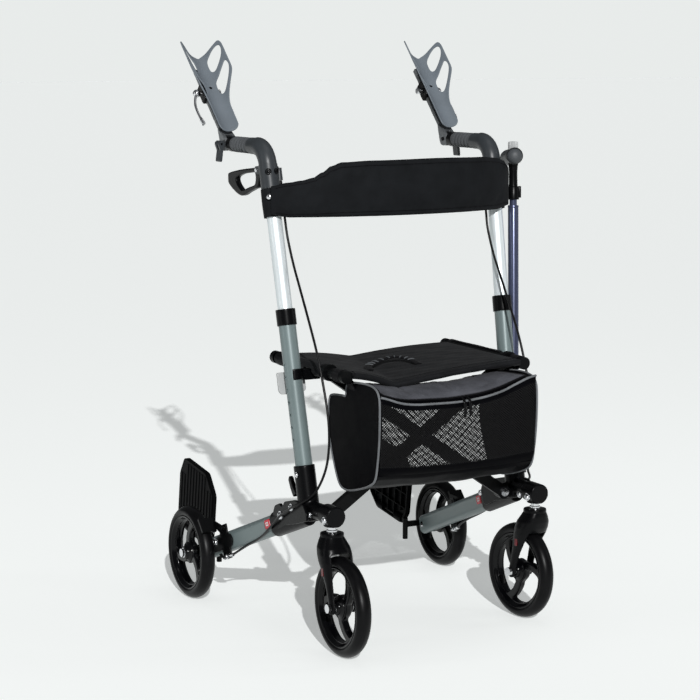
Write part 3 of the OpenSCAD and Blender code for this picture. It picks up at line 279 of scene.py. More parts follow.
def seen_rays(tree):
    """1 for rays from the camera and for reflections, 0 for light that falls on the object."""
    path = tree.nodes.new("ShaderNodeLightPath")
    seen = path.outputs["Is Camera Ray"]
    for name in ("Is Glossy Ray", "Is Transmission Ray"):
        seen = combined(tree, "MAXIMUM", seen, path.outputs[name])
    return seen


def make_world():
    """Dim light all round, with the backdrop's colour for what the camera sees."""
    world = bpy.data.worlds.new("studio")
    bpy.context.scene.world = world
    world.use_nodes = True
    tree = world.node_tree
    tree.nodes.clear()
    light, seen = (tree.nodes.new("ShaderNodeBackground") for k in range(2))
    set_inputs(light, {"Color": (*WORLD_TINT, 1), "Strength": WORLD_POWER})
    set_inputs(seen, {"Color": (*BACKDROP, 1)})
    path = tree.nodes.new("ShaderNodeLightPath")
    mix = tree.nodes.new("ShaderNodeMixShader")
    out = tree.nodes.new("ShaderNodeOutputWorld")
    tree.links.new(path.outputs["Is Camera Ray"], mix.inputs[0])
    tree.links.new(light.outputs[0], mix.inputs[1])
    tree.links.new(seen.outputs[0], mix.inputs[2])
    tree.links.new(mix.outputs[0], out.inputs[0])


def make_floor():
    bm = bmesh.new()
    bmesh.ops.create_grid(bm, x_segments=1, y_segments=1, size=FLOOR_SIZE)
    floor = mesh_object("floor", bm)
    floor.location.z = FLOOR_Z
    mat, tree, bsdf = shader("floor_paper")
    set_inputs(bsdf, {"Base Color": (*FLOOR, 1), "Roughness": 0.9, "Specular IOR Level": 0.0})
    set_inputs(bsdf, {"Emission Color": (*BACKDROP, 1)})
    glow = combined(tree, "MULTIPLY", seen_rays(tree), FLOOR_GLOW)
    tree.links.new(glow, bsdf.inputs["Emission Strength"])
    floor.data.materials.append(mat)
    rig.stage(floor)


def add_light(name, kind, toward, power):
    data = bpy.data.lights.new(name, kind)
    data.energy = power
    ob = linked(name, data)
    ob.rotation_euler = toward.to_track_quat("-Z", "Y").to_euler()
    return ob


def make_lights():
    key = add_light("key", "SUN", KEY_TOWARD, KEY_POWER)
    key.data.angle = math.radians(KEY_SPREAD)
    for name, at, size, power in SOFTBOXES:
        box = add_light(name, "AREA", SOFTBOX_AIM - Vector(at), power)
        box.location = at
        box.data.shape = "RECTANGLE"
        box.data.size, box.data.size_y = size


# Materials


def shader(name):
    mat = bpy.data.materials.new(name)
    mat.use_nodes = True
    tree = mat.node_tree
    return mat, tree, tree.nodes["Principled BSDF"]


def texture(tree, kind, scale, detail, stretch=None, **values):
    node = tree.nodes.new("ShaderNodeTex" + kind)
    for key, value in values.items():
        setattr(node, key, value)
    set_inputs(node, {"Scale": scale, "Detail": detail})
    source = tree.nodes.new("ShaderNodeTexCoord").outputs["Object"]
    if stretch:
        mapping = tree.nodes.new("ShaderNodeMapping")
        mapping.inputs["Scale"].default_value = stretch
        tree.links.new(source, mapping.inputs["Vector"])
        source = mapping.outputs["Vector"]
    tree.links.new(source, node.inputs["Vector"])
    return node.outputs["Fac"]


def remap(tree, value, low, high):
    node = tree.nodes.new("ShaderNodeMapRange")
    set_inputs(node, {"To Min": low, "To Max": high})
    tree.links.new(value, node.inputs["Value"])
    return node.outputs["Result"]


def tint(tree, value, dark, light, start=0.3, end=0.7):
    ramp = tree.nodes.new("ShaderNodeValToRGB")
    for element, position, color in zip(ramp.color_ramp.elements, (start, end), (dark, light)):
        element.position = position
        element.color = (*color, 1)
    tree.links.new(value, ramp.inputs[0])
    return ramp.outputs["Color"]


def clouded(tree, value, color, spread):
    """The colour, a share darker and lighter in soft clouds."""
    dark, light = ([min(1, c * (1 + way * spread)) for c in color] for way in (-1, 1))
    return tint(tree, value, dark, light)


def add_bump(tree, bsdf, height, depth, before=None):
    node = tree.nodes.new("ShaderNodeBump")
    set_inputs(node, {"Strength": 1.0, "Distance": depth})
    tree.links.new(height, node.inputs["Height"])
    if before:
        tree.links.new(before, node.inputs["Normal"])
    tree.links.new(node.outputs["Normal"], bsdf.inputs["Normal"])
    return node.outputs["Normal"]


def hard(name, color, rough, metal=0.0, spread=0.12, cloud=18, grain=900, depth=2e-5, streak=None, gloss=0.5):
    """Plastic, paint or metal: clouded colour, uneven gloss and a fine surface grain."""
    mat, tree, bsdf = shader(name)
    base = clouded(tree, texture(tree, "Noise", cloud, 4), color, spread)
    tree.links.new(base, bsdf.inputs["Base Color"])
    fine = texture(tree, "Noise", grain, 3, streak)
    tree.links.new(remap(tree, fine, max(0.02, rough - 0.07), rough + 0.07), bsdf.inputs["Roughness"])
    add_bump(tree, bsdf, fine, depth)
    set_inputs(bsdf, {"Metallic": metal, "Specular IOR Level": gloss})
    return mat


# The last number is how much of the painted shade between threads darkens the colour
DYE_SCALE, DYE_SPREAD, WRINKLE_SCALE, WEAVE_SHADE_SHARE = 26, 0.22, 22, 0.6
# Painted shade: what the colour is multiplied by in the gaps between threads, and on the threads
WEAVE_GAP_SHADE, WEAVE_LIGHT = (0.55, 0.55, 0.55), (1, 1, 1)


def woven(name, color, pitch=0.0011, depth=0.00012, rough=0.75, folds=0.0, sheen=0.25, axes="xy", gloss=0.05):
    """Woven nylon: crossed threads with painted shade in the gaps between them, uneven dye and soft small wrinkles."""
    mat, tree, bsdf = shader(name)
    threads = [
        texture(tree, "Wave", math.pi / (20 * pitch), 0, wave_type="BANDS", bands_direction=axis.upper())
        for axis in axes
    ]
    weave = combined(tree, "MULTIPLY", *threads)
    dye = texture(tree, "Noise", DYE_SCALE, 5)
    # Painted shade: the dyed colour darkened in the gaps between the threads
    gap_shade = tree.nodes.new("ShaderNodeMix")
    gap_shade.data_type = "RGBA"
    gap_shade.blend_type = "MULTIPLY"
    gap_shade.inputs["Factor"].default_value = WEAVE_SHADE_SHARE
    tree.links.new(clouded(tree, dye, color, DYE_SPREAD), gap_shade.inputs["A"])
    tree.links.new(tint(tree, weave, WEAVE_GAP_SHADE, WEAVE_LIGHT, 0.0, 0.6), gap_shade.inputs["B"])
    tree.links.new(gap_shade.outputs["Result"], bsdf.inputs["Base Color"])
    tree.links.new(remap(tree, dye, rough - 0.12, rough + 0.12), bsdf.inputs["Roughness"])
    before = None
    if folds:
        before = add_bump(tree, bsdf, texture(tree, "Noise", WRINKLE_SCALE, 3), folds)
    add_bump(tree, bsdf, weave, depth, before)
    set_inputs(bsdf, {"Sheen Weight": sheen, "Sheen Roughness": 0.4, "Specular IOR Level": gloss})
    return mat


# Colour, roughness and what else differs from the defaults of hard() and of woven()
HARD = {
    "black_plastic": ((0.0022, 0.0023, 0.0027), 0.28, dict(cloud=30, grain=700, gloss=0.11)),
    "matte_plastic": ((0.0018, 0.0019, 0.0021), 0.5, dict(cloud=30, grain=700, gloss=0.04)),
    "black_metal": ((0.0022, 0.0024, 0.0027), 0.36, dict(grain=1400, depth=3e-5, gloss=0.11)),
    "rim_plastic": ((0.0015, 0.0016, 0.002), 0.16, dict(grain=500, gloss=0.2)),
    "tyre": ((0.0028, 0.0028, 0.0032), 0.36, dict(spread=0.3, cloud=40, grain=1600, depth=4e-5, gloss=0.12)),
    "sage_metal": (
        (0.165, 0.21, 0.212), 0.34,
        dict(metal=0.15, spread=0.05, cloud=9, grain=1800, depth=1.2e-5),
    ),
    "silver_metal": (
        (0.80, 0.86, 0.88), 0.42,
        dict(metal=0.5, spread=0.04, cloud=10, grain=700, depth=1.2e-5, streak=(9, 9, 0.12)),
    ),
    "steel": ((0.72, 0.73, 0.75), 0.16, dict(metal=1.0, spread=0.06, cloud=60, grain=800, depth=1e-5)),
    "charcoal_plastic": ((0.033, 0.0375, 0.042), 0.38, dict(grain=1300, depth=4e-5, gloss=0.35)),
    "grip_rubber": ((0.085, 0.091, 0.097), 0.6, dict(grain=1500, depth=6e-5, gloss=0.3)),
    "lever_plastic": ((0.0035, 0.0035, 0.004), 0.30, dict(gloss=0.09)),
    "carrier_metal": ((0.17, 0.18, 0.188), 0.36, dict(metal=0.6, spread=0.08, cloud=20)),
    "trough_plastic": ((0.138, 0.160, 0.182), 0.48, dict(spread=0.06, grain=1100, depth=4e-5, gloss=0.25)),
    "cable_sheath": ((0.0025, 0.0025, 0.003), 0.34, dict(gloss=0.2)),
    "red_plastic": ((0.55, 0.012, 0.03), 0.25, dict(grain=700)),
    "net": ((0.0025, 0.0025, 0.003), 0.6, dict(gloss=0.2)),
    "cane_grip": ((0.06, 0.066, 0.072), 0.5, dict(grain=1200, depth=5e-5, gloss=0.35)),
    "cane_metal": (
        (0.064, 0.075, 0.130), 0.26,
        dict(metal=0.5, spread=0.06, cloud=12, depth=1.2e-5, streak=(8, 8, 0.15)),
    ),
    "reflector": ((0.12, 0.006, 0.01), 0.14, dict(grain=300, depth=1e-4)),
    "pale_plastic": ((0.42, 0.43, 0.43), 0.45, {}),
    "white_paint": ((0.75, 0.75, 0.75), 0.5, {}),
}
WOVEN = {
    "seat_fabric": ((0.0125, 0.013, 0.0145), dict(folds=0.0014, rough=0.55, sheen=0.04, gloss=0.06)),
    "bag_fabric": ((0.0018, 0.0018, 0.0026), dict(folds=0.001, axes="yz", rough=0.45, sheen=0.0, gloss=0.02)),
    "lid_fabric": ((0.092, 0.095, 0.110), dict(folds=0.0014, rough=0.34, sheen=0.05, gloss=0.35)),
    "band_fabric": ((0.0105, 0.0115, 0.013), dict(folds=0.0006, axes="xz", rough=0.7, sheen=0.03)),
    "piping": ((0.17, 0.18, 0.19), dict(pitch=0.0014, depth=0.0001, axes="xz")),
    "webbing": ((0.006, 0.006, 0.007), dict(pitch=0.002, depth=0.0003, sheen=0.05)),
}


def make_materials():
    mats = {name: hard(name, color, rough, **more) for name, (color, rough, more) in HARD.items()}
    mats.update({name: woven(name, color, **more) for name, (color, more) in WOVEN.items()})
    return mats


# Places, as in the part's source


def tilt_of(axis, degrees):
    return Matrix.Rotation(math.radians(degrees), 4, axis)


def move(x, y, z):
    return Matrix.Translation((x, y, z))


RAKE, LEAN, FOREARM = 11.84, 1.7, 45.0
UPRIGHT_LEN, PIVOT_Y = 0.644, 0.1755
UPRIGHT_FOOT = (0.247, -0.1515, 0.358)
LEG_YAW, LEG_SLOPE = 4.0756, 21.0941
REAR_WHEEL = (0.315, 0.2555, 0.1)
CASTER_X, CASTER_Y, CASTER_TURN = 0.238, -0.2555, {"r": 180, "l": 5}
CASTER_AXLE = (0, 0.045, 0.1)
AT_LEAN = move(*UPRIGHT_FOOT) @ tilt_of("Y", LEAN)
AT_UPRIGHT = AT_LEAN @ tilt_of("X", -RAKE)
ELBOW_Y = UPRIGHT_LEN * math.sin(math.radians(RAKE))
ELBOW_Z = UPRIGHT_LEN * math.cos(math.radians(RAKE))
AT_ELBOW = AT_LEAN @ move(0, ELBOW_Y, ELBOW_Z)
AT_FOREARM = AT_ELBOW @ move(0, PIVOT_Y, 0) @ tilt_of("X", FOREARM)
AT_LEG = move(0.276, 0.2555, 0.1) @ tilt_of("Z", -LEG_YAW) @ tilt_of("X", 90 - LEG_SLOPE)
AT_PLATE = move(0.248, 0.2835, 0.097) @ tilt_of("X", 8)
AT_CANE = move(0.2798, -0.1065, 0.297) @ tilt_of("Y", 2.2) @ tilt_of("X", -5)
MIRROR = Matrix.Scale(-1, 4, (1, 0, 0))


def sided(side, matrix):
    """A place on the user's left, or its mirror on the right."""
    return matrix if side == "l" else MIRROR @ matrix


def side_point(side, x, y, z):
    return Vector((SIDES[side] * x, y, z)) * MM


def at_caster(side):
    return move(SIDES[side] * CASTER_X, CASTER_Y, 0) @ tilt_of("Z", CASTER_TURN[side])


def aimed(at, toward):
    """A place whose z axis points that way."""
    return Matrix.Translation(at) @ Vector(toward).to_track_quat("Z", "Y").to_matrix().to_4x4()


# Objects


def linked(name, data):
    ob = bpy.data.objects.new(name, data)
    bpy.context.collection.objects.link(ob)
    return ob


def mesh_object(name, bm, smooth=None):
    mesh = bpy.data.meshes.new(name)
    bm.to_mesh(mesh)
    bm.free()
    ob = linked(name, mesh)
    if smooth is not None:
        shade(ob, smooth)
    return ob


def shade(ob, angle):
    """Smooth shading, with edges sharper than the angle left sharp."""
    mesh = ob.data
    mesh.polygons.foreach_set("use_smooth", [True] * len(mesh.polygons))
    if angle < 180:
        mesh.set_sharp_from_angle(angle=math.radians(angle))
    return ob


def dress(ob, body, slot, *nodes, mat=None):
    """Gives a piece its material, the body it rides on, its slot and the nodes it stands for."""
    ob.data.materials.clear()
    ob.data.materials.append(MATS[mat or slot])
    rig.ride(ob, body)
    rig.slot(ob, slot)
    if nodes:
        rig.replaces(ob, *nodes)
    return ob


def place(ob, matrix):
    ob.data.transform(matrix)
    if matrix.determinant() < 0:
        ob.data.flip_normals()
    ob.data.update()
    return ob


def evaluated_mesh(ob):
    return bpy.data.meshes.new_from_object(ob.evaluated_get(bpy.context.evaluated_depsgraph_get()))


def apply_modifiers(ob):
    mesh = evaluated_mesh(ob)
    old = ob.data
    ob.modifiers.clear()
    ob.data = mesh
    bpy.data.meshes.remove(old)
    return ob


def soften(ob, voxel, rounds, keep):
    """Rounds every edge, as a moulding or casting has them, and keeps a share of the faces."""
    bpy.context.view_layer.update()
    remesh = ob.modifiers.new("remesh", "REMESH")
    remesh.mode = "VOXEL"
    remesh.voxel_size = voxel
    relax = ob.modifiers.new("relax", "SMOOTH")
    relax.iterations = rounds
    relax.factor = 0.5
    ob.modifiers.new("thin", "DECIMATE").ratio = keep
    return shade(apply_modifiers(ob), 60)


def thicken(ob, thickness):
    """Cloth of that thickness from a single skin."""
    bpy.context.view_layer.update()
    thick = ob.modifiers.new("thick", "SOLIDIFY")
    thick.thickness = thickness
    thick.offset = 0
    return shade(apply_modifiers(ob), 60)


def cut(ob, other):
    bpy.context.view_layer.update()
    tool = ob.modifiers.new("cut", "BOOLEAN")
    tool.operation = "DIFFERENCE"
    tool.solver = "EXACT"
    tool.object = other
    apply_modifiers(ob)
    bpy.data.objects.remove(other)
    return ob


def copy_of(node, name):
    """A new piece with a CAD node's own mesh."""
    return linked(name, NODES[node].data.copy())


def soft_copy(node, body, slot, voxel, rounds):
    """The node's own shape with the rounded edges of a casting or moulding."""
    return dress(soften(copy_of(node, node + "_cast"), voxel, rounds, keep=0.35), body, slot, node)


def joined(name, objects):
    """One piece from several meshes."""
    bm = bmesh.new()
    for ob in objects:
        bm.from_mesh(ob.data)
        bpy.data.objects.remove(ob)
    return mesh_object(name, bm)


# Lines and outlines


def shares(count):
    return [k / count for k in range(count + 1)]


def angles(count):
    return [2 * math.pi * k / count for k in range(count)]


def circle(radius, count, y=0.0):
    return [(y + radius * math.cos(a), radius * math.sin(a)) for a in angles(count)]


def box_line(y0, z0, y1, z1):
    return [(y0, z0), (y1, z0), (y1, z1), (y0, z1)]


def in_metres(points):
    return [(y * MM, z * MM) for y, z in points]


def between(points, x, ease=False):
    """The value at x on a line of (x, value) points, with a soft start and stop at each if ease."""
    for (a, p), (b, q) in zip(points, points[1:]):
        if x <= b:
            t = max(0.0, (x - a) / (b - a))
            return p + (q - p) * (t * t * (3 - 2 * t) if ease else t)
    return points[-1][1]


def smooth_path(points, steps, closed=False):
    """Points on a smooth curve through the given ones."""
    p = [Vector(q) for q in points]
    count = len(p)
    out = []
    for i in range(count if closed else count - 1):
        if closed:
            a, b, c, d = (p[(i + k) % count] for k in (-1, 0, 1, 2))
        else:
            b, c = p[i], p[i + 1]
            a = p[i - 1] if i else 2 * b - c
            d = p[i + 2] if i + 2 < count else 2 * c - b
        for k in range(steps):
            t = k / steps
            square = (2 * a - 5 * b + 4 * c - d) * t * t
            cube = (3 * b - 3 * c + d - a) * t * t * t
            out.append(0.5 * (2 * b + (c - a) * t + square + cube))
    if not closed:
        out.append(p[-1].copy())
    return out


def flat_line(points, steps):
    """A smooth closed outline through flat points."""
    return [(p.x, p.y) for p in smooth_path([(a, b, 0) for a, b in points], steps, closed=True)]


def rounded(points, radius, steps=4):
    """A polygon's corners rounded off."""
    out = []
    count = len(points)
    for i in range(count):
        a, b, c = (Vector(points[(i + k) % count]) for k in (-1, 0, 1))
        into, away = a - b, c - b
        r = min(radius, into.length / 2.2, away.length / 2.2)
        start, end = b + into.normalized() * r, b + away.normalized() * r
        for t in shares(steps):
            p = (1 - t) ** 2 * start + 2 * t * (1 - t) * b + t * t * end
            out.append((p.x, p.y))
    return out


def inset(points, amount):
    middle = sum((Vector(p) for p in points), Vector((0, 0))) / len(points)
    out = []
    for p in points:
        d = Vector(p) - middle
        out.append(tuple(middle + d * (1 - amount / d.length)))
    return out


# Shapes


def loft(name, rows, around=False, along=False, smooth=40):
    """A skin over rows of points. around closes each row, and along joins the last row to the first."""
    bm = bmesh.new()
    grid = [[bm.verts.new(p) for p in row] for row in rows]
    across = len(rows[0])
    for i in range(len(rows) if along else len(rows) - 1):
        a, b = grid[i], grid[(i + 1) % len(rows)]
        for j in range(across if around else across - 1):
            k = (j + 1) % across
            bm.faces.new((a[j], a[k], b[k], b[j]))
    if around and not along:
        bm.faces.new(list(reversed(grid[0])))
        bm.faces.new(grid[-1])
    bmesh.ops.recalc_face_normals(bm, faces=bm.faces)
    return mesh_object(name, bm, smooth)


def tube(name, path, radius, sides, flat=1.0, up=(0, 0, 1)):
    """A tube along a path; radius is a number or one for each point, and flat squeezes it along up."""
    path = [Vector(p) for p in path]
    rows = []
    across = None
    for i, p in enumerate(path):
        ahead = (path[min(i + 1, len(path) - 1)] - path[max(i - 1, 0)]).normalized()
        if across is None:
            guide = Vector(up)
            if abs(guide.dot(ahead)) > 0.95:
                guide = Vector((1, 0, 0)) if abs(ahead.x) < 0.9 else Vector((0, 1, 0))
            across = guide.cross(ahead).normalized()
        else:
            across = (across - across.dot(ahead) * ahead).normalized()
        over = ahead.cross(across)
        r = radius[i] if isinstance(radius, list) else radius
        rows.append([p + r * (math.cos(a) * across + flat * math.sin(a) * over) for a in angles(sides)])
    return loft(name, rows, around=True, smooth=50)


def turned(name, profile, at, segments, smooth=35):
    """A profile of (radius, height) points turned about the place's z."""
    bm = bmesh.new()
    grid = []
    for a in angles(segments):
        grid.append([bm.verts.new((r * math.cos(a), r * math.sin(a), h)) for r, h in profile])
    for i in range(segments):
        a, b = grid[i], grid[(i + 1) % segments]
        for j in range(len(profile) - 1):
            bm.faces.new((a[j], b[j], b[j + 1], a[j + 1]))
    bmesh.ops.remove_doubles(bm, verts=bm.verts, dist=1e-6)
    bmesh.ops.holes_fill(bm, edges=[e for e in bm.edges if e.is_boundary], sides=segments + 1)
    bmesh.ops.recalc_face_normals(bm, faces=bm.faces)
    return place(mesh_object(name, bm, smooth), at)


def ring_of(name, profile, at, segments):
    """A closed profile of (radius, height) points turned about the place's z, open in the middle."""
    return turned(name, profile + profile[:1], at, segments)


def slab(name, outlines, at, width, bevel):
    """A plate with rounded edges: outlines in the place's (y, z), holes included, thick along x."""
    data = bpy.data.curves.new(name, "CURVE")
    data.dimensions = "2D"
    data.fill_mode = "BOTH"
    for outline in outlines:
        spline = data.splines.new("POLY")
        spline.points.add(len(outline) - 1)
        for point, (y, z) in zip(spline.points, outline):
            point.co = (y, z, 0, 1)
        spline.use_cyclic_u = True
    data.extrude = width / 2 - bevel
    data.bevel_depth = bevel
    data.bevel_resolution = 3
    data.offset = -bevel
    source = linked(name + "_outline", data)
    mesh = evaluated_mesh(source)
    bpy.data.objects.remove(source)
    bpy.data.curves.remove(data)
    mesh.name = name
    upright = Matrix(((0, 0, 1, 0), (1, 0, 0, 0), (0, 1, 0, 0), (0, 0, 0, 1)))
    return shade(place(linked(name, mesh), at @ upright), 35)


# Forearm rests

# The trough's flat cut, half of it: its edge and windows as shares of the length and of the wing's
# height, and the toe and heel as (way along, way from the middle)
TROUGH_EDGE = [
    (0.08, 0.28), (0.2, 0.285), (0.31, 0.31), (0.41, 0.45), (0.52, 0.71), (0.61, 0.94), (0.67, 1.0),
    (0.8, 1.0), (0.93, 1.0), (0.985, 0.95), (1.0, 0.83), (0.985, 0.6), (0.955, 0.26), (0.925, 0.06),
]
UPPER_WINDOW = [
    (0.73, 0.14), (0.84, 0.14), (0.905, 0.3), (0.95, 0.6),
    (0.95, 0.83), (0.89, 0.87), (0.81, 0.7), (0.72, 0.32),
]
LOWER_WINDOW = [
    (0.46, 0.14), (0.58, 0.14), (0.65, 0.36), (0.72, 0.64),
    (0.755, 0.84), (0.68, 0.9), (0.57, 0.68), (0.45, 0.3),
]
TROUGH_TOE = [(0.0142, 0.0), (0.0150, 0.0100), (0.0182, 0.0185), (0.0250, 0.0238)]
TROUGH_HEEL = (0.2232, 0.0)
TROUGH_START, TROUGH_LEN, TROUGH_FLOOR, TROUGH_RISE = 0.014, 0.230, 0.020, 0.040
TROUGH_R, TROUGH_MID, TROUGH_SPLAY, TROUGH_T = 0.0305, 0.052, math.radians(50), 0.003
TROUGH_HOLE_Y, TROUGH_HOLE_R = 0.138, 0.0035
SADDLE = [
    (0.119, -0.005), (0.122, -0.007), (0.158, -0.007), (0.161, -0.005),
    (0.161, 0.014), (0.152, 0.0205), (0.128, 0.0205), (0.119, 0.014),
]
SADDLE_W, SKEWER_Y, SKEWER_Z = 0.032, 0.14, 0.004
NUT = [(0, -0.012), (0.006, -0.012), (0.0072, -0.0108), (0.0072, -0.003), (0.006, -0.002), (0.006, 0.0)]
SKEWER = [(0.004, 0.0), (0.004, 0.006), (0.0055, 0.0065), (0.0055, 0.009), (0.0, 0.009)]


def trough_flat(points):
    """Shares of length and height as (y, way along the section from its middle)."""
    bend = TROUGH_MID - TROUGH_R * math.cos(TROUGH_SPLAY)
    out = []
    for a, b in points:
        z = TROUGH_FLOOR + b * TROUGH_RISE
        if z < bend:
            way = TROUGH_R * math.acos((TROUGH_MID - z) / TROUGH_R)
        else:
            way = TROUGH_R * TROUGH_SPLAY + (z - bend) / math.sin(TROUGH_SPLAY)
        out.append((TROUGH_START + a * TROUGH_LEN, way))
    return out


def bend_trough(p):
    """A point (depth, y, way) of the flat cut on the floor or on a splayed wing."""
    side = -1 if p.z < 0 else 1
    radius = TROUGH_R + p.x
    angle = min(abs(p.z) / TROUGH_R, TROUGH_SPLAY)
    rest = abs(p.z) - TROUGH_R * angle
    x = radius * math.sin(angle) + rest * math.cos(TROUGH_SPLAY)
    return Vector((side * x, p.y, TROUGH_MID - radius * math.cos(angle) + rest * math.sin(TROUGH_SPLAY)))


def make_trough(side):
    at, body = sided(side, AT_FOREARM), "trough_" + side
    half = TROUGH_TOE + trough_flat(TROUGH_EDGE)
    outlines = [flat_line(half + [TROUGH_HEEL] + [(y, -s) for y, s in reversed(half[1:])], 6)]
    for window in (UPPER_WINDOW, LOWER_WINDOW):
        for end in (-1, 1):
            outlines.append(flat_line([(y, end * s) for y, s in trough_flat(window)], 6))
    outlines.append(circle(TROUGH_HOLE_R, 24, TROUGH_HOLE_Y))
    shell = slab("trough_" + side, outlines, STILL, width=TROUGH_T, bevel=0.0004)
    soften(shell, voxel=0.0009, rounds=4, keep=0.5)
    bm = bmesh.new()
    bm.from_mesh(shell.data)
    for v in bm.verts:
        v.co = bend_trough(v.co)
    bmesh.ops.recalc_face_normals(bm, faces=bm.faces)
    bm.to_mesh(shell.data)
    bm.free()
    dress(place(shade(shell, 60), at), body, "trough_plastic", "forearm_trough_" + side)
    saddle = slab("trough_saddle_" + side, [SADDLE], at, width=SADDLE_W, bevel=0.002)
    dress(saddle, body, "black_plastic")
    for name, end, profile in (("nut", -1, NUT), ("skewer", 1, SKEWER)):
        spot = at @ move(end * SADDLE_W / 2, SKEWER_Y, SKEWER_Z) @ tilt_of("Y", 90)
        dress(turned("trough_%s_%s" % (name, side), profile, spot, 20), body, "steel")


SLIDE_LEVER = [
    (0.026, 0.141), (0.034, 0.127), (0.0405, 0.108), (0.0425, 0.088), (0.0415, 0.069), (0.0395, 0.054),
]
SLIDE_R, SLIDE_WAIST, SLIDE_TIP, SLIDE_FLAT = 0.0048, 0.001, 0.0012, 0.62
SLIDE_BALL_R, SLIDE_BALL_AT = 0.0085, (0.0262, 0.1405, SKEWER_Z)


def make_slide_lever(side):
    path = smooth_path([(x, y, SKEWER_Z) for x, y in SLIDE_LEVER], 5)
    last = len(path) - 1
    radii = []
    for i in range(last + 1):
        tip = SLIDE_TIP if i > last - 5 else 0
        radii.append(SLIDE_R - SLIDE_WAIST * math.sin(math.pi * i / last) + tip)
    arm = tube("slide_lever_arm_" + side, path, radii, 14, flat=SLIDE_FLAT, up=(1, 0, 0))
    half_turn = [math.pi * t for t in shares(14)]
    round_line = [(SLIDE_BALL_R * math.sin(a), -SLIDE_BALL_R * math.cos(a)) for a in half_turn]
    ball = turned("slide_lever_ball_" + side, round_line, move(*SLIDE_BALL_AT), 24)
    lever = shade(joined("slide_lever_piece_" + side, [arm, ball]), 50)
    dress(place(lever, sided(side, AT_FOREARM)), "slide_lever_" + side, "steel", "slide_lever_" + side)


# Brakes

# The lever's loop and its opening, as shares of the lever's length and depth
BRAKE_OUTER = [
    (-0.03, -0.25), (0.02, 0.12), (0.2, 0.06), (0.45, -0.03), (0.68, -0.14), (0.88, -0.26), (0.985, -0.36),
    (1.0, -0.55), (0.99, -0.86), (0.9, -1.08), (0.78, -1.28), (0.64, -1.43), (0.52, -1.42), (0.36, -1.22),
    (0.18, -1.02), (0.04, -0.84),
]
BRAKE_GAP = [
    (0.13, -0.18), (0.33, -0.22), (0.53, -0.31), (0.68, -0.46), (0.735, -0.62), (0.7, -0.84), (0.62, -1.04),
    (0.54, -1.13), (0.34, -0.95), (0.14, -0.73),
]
BRAKE_Y, BRAKE_Z, BRAKE_LEN, BRAKE_DEEP, BRAKE_W = 0.024, -0.047, 0.150, 0.040, 0.012
BRAKE_PIN = [
    (0, -0.0135), (0.0035, -0.0135), (0.0045, -0.0125), (0.0045, 0.0125), (0.0035, 0.0135), (0, 0.0135),
]
# The cable's route on the left side in millimetres, as in the part's source
CABLE = [
    (240.7, -33.7, 920.2), (240.0, -38.6, 899.2), (238.9, -44.5, 869.3), (237.8, -51.5, 837.5),
    (236.9, -60.4, 805.3), (236.5, -84.4, 756.1), (236.7, -115.8, 706.9), (236.9, -151.6, 651.1),
    (237, -187, 592), (237, -215, 530), (237, -236, 470), (238, -243, 420), (239, -236, 374),
    (243, -221, 338), (251, -207, 312), (264, -194, 296), (275, -174, 284), (277, -142, 268),
    (276, -100, 246), (275, -60, 218),
    (273, -20, 191), (271, 20, 170), (271, 60, 152), (273, 95, 134), (278, 118, 120),
]
CABLE_LENGTH, CABLE_D = 1.052, 0.005
# Below the first point the cable stays with the frame, and above the second it goes with the handle
CABLE_BEND = [(0.237, -0.2, 0.56), (0.24, -0.04, 0.88)]
FERRULE_R = [0.0042, 0.0042, 0.004, 0.0036, 0.003]


def make_brake_lever(side):
    lines = []
    for shape in (BRAKE_OUTER, BRAKE_GAP):
        lines.append(flat_line([(BRAKE_Y + a * BRAKE_LEN, BRAKE_Z + b * BRAKE_DEEP) for a, b in shape], 5))
    loop = slab("brake_loop_" + side, lines, sided(side, AT_ELBOW), width=BRAKE_W, bevel=0.0028)
    dress(loop, "brake_lever_" + side, "black_plastic", "brake_lever_" + side)
    spot = sided(side, AT_ELBOW) @ move(0, BRAKE_Y, BRAKE_Z) @ tilt_of("Y", 90)
    dress(turned("brake_pin_" + side, BRAKE_PIN, spot, 20), "handle_" + side, "steel")


def make_cable(side):
    own = sided(side, STILL)
    knots = [Vector(p) * MM for p in CABLE]
    route = smooth_path(knots, 4)
    cable = place(tube("brake_cable_piece_" + side, route, CABLE_D / 2, 12), own)
    line = [own @ p for p in route]
    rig.cord(cable, line[0], CABLE_LENGTH, CABLE_D, "object", "stiff", "hanging", path=line)
    cable.data.materials.append(MATS["cable_sheath"])
    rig.slot(cable, "cable_sheath")
    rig.replaces(cable, "brake_cable_" + side)
    low, high = (own @ Vector(p) for p in CABLE_BEND)
    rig.blend(cable, "frame_" + side, "handle_" + side, low, high)
    sheath = tube("cable_ferrule_" + side, smooth_path(knots[:2], 4), FERRULE_R, 14)
    dress(place(sheath, own), "handle_" + side, "black_plastic")


# Cloth

FOLDED = 0.326
RAIL_X, RAIL_Z = 0.206, 0.547
SEAT_EDGE, BAG_EDGE = 0.1945, 0.1775
CLOTH_FRAMES, CLOTH_PRESSURE, NORMAL_STEP = 20, 4, 0.01


def on_rails(ob, slot, *nodes, mat=None):
    """A cloth piece between the seat rails, which closes up sideways as the frame folds."""
    dress(ob, "rail_r", slot, *nodes, mat=mat)
    edge = SEAT_EDGE if slot == "seat_fabric" else BAG_EDGE
    share = (FOLDED * RAIL_X - (RAIL_X - edge)) / edge
    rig.squash(ob, "fold", (1, 0, 0), (-edge, 0, 0), share)
    return ob


def noise(x, y, seed):
    """Small smooth unevenness without anything random."""
    return (
        math.sin(x * 31 + seed) * math.cos(y * 27 - seed * 1.7)
        + 0.5 * math.sin(x * 67 - y * 43 + seed * 2.3)
        + 0.35 * math.sin(x * 19 + y * 88 + seed * 3.1)
    ) / 1.85


def bump(t):
    """A half wave: 0 at both ends and 1 in the middle."""
    return math.sin(math.pi * t)


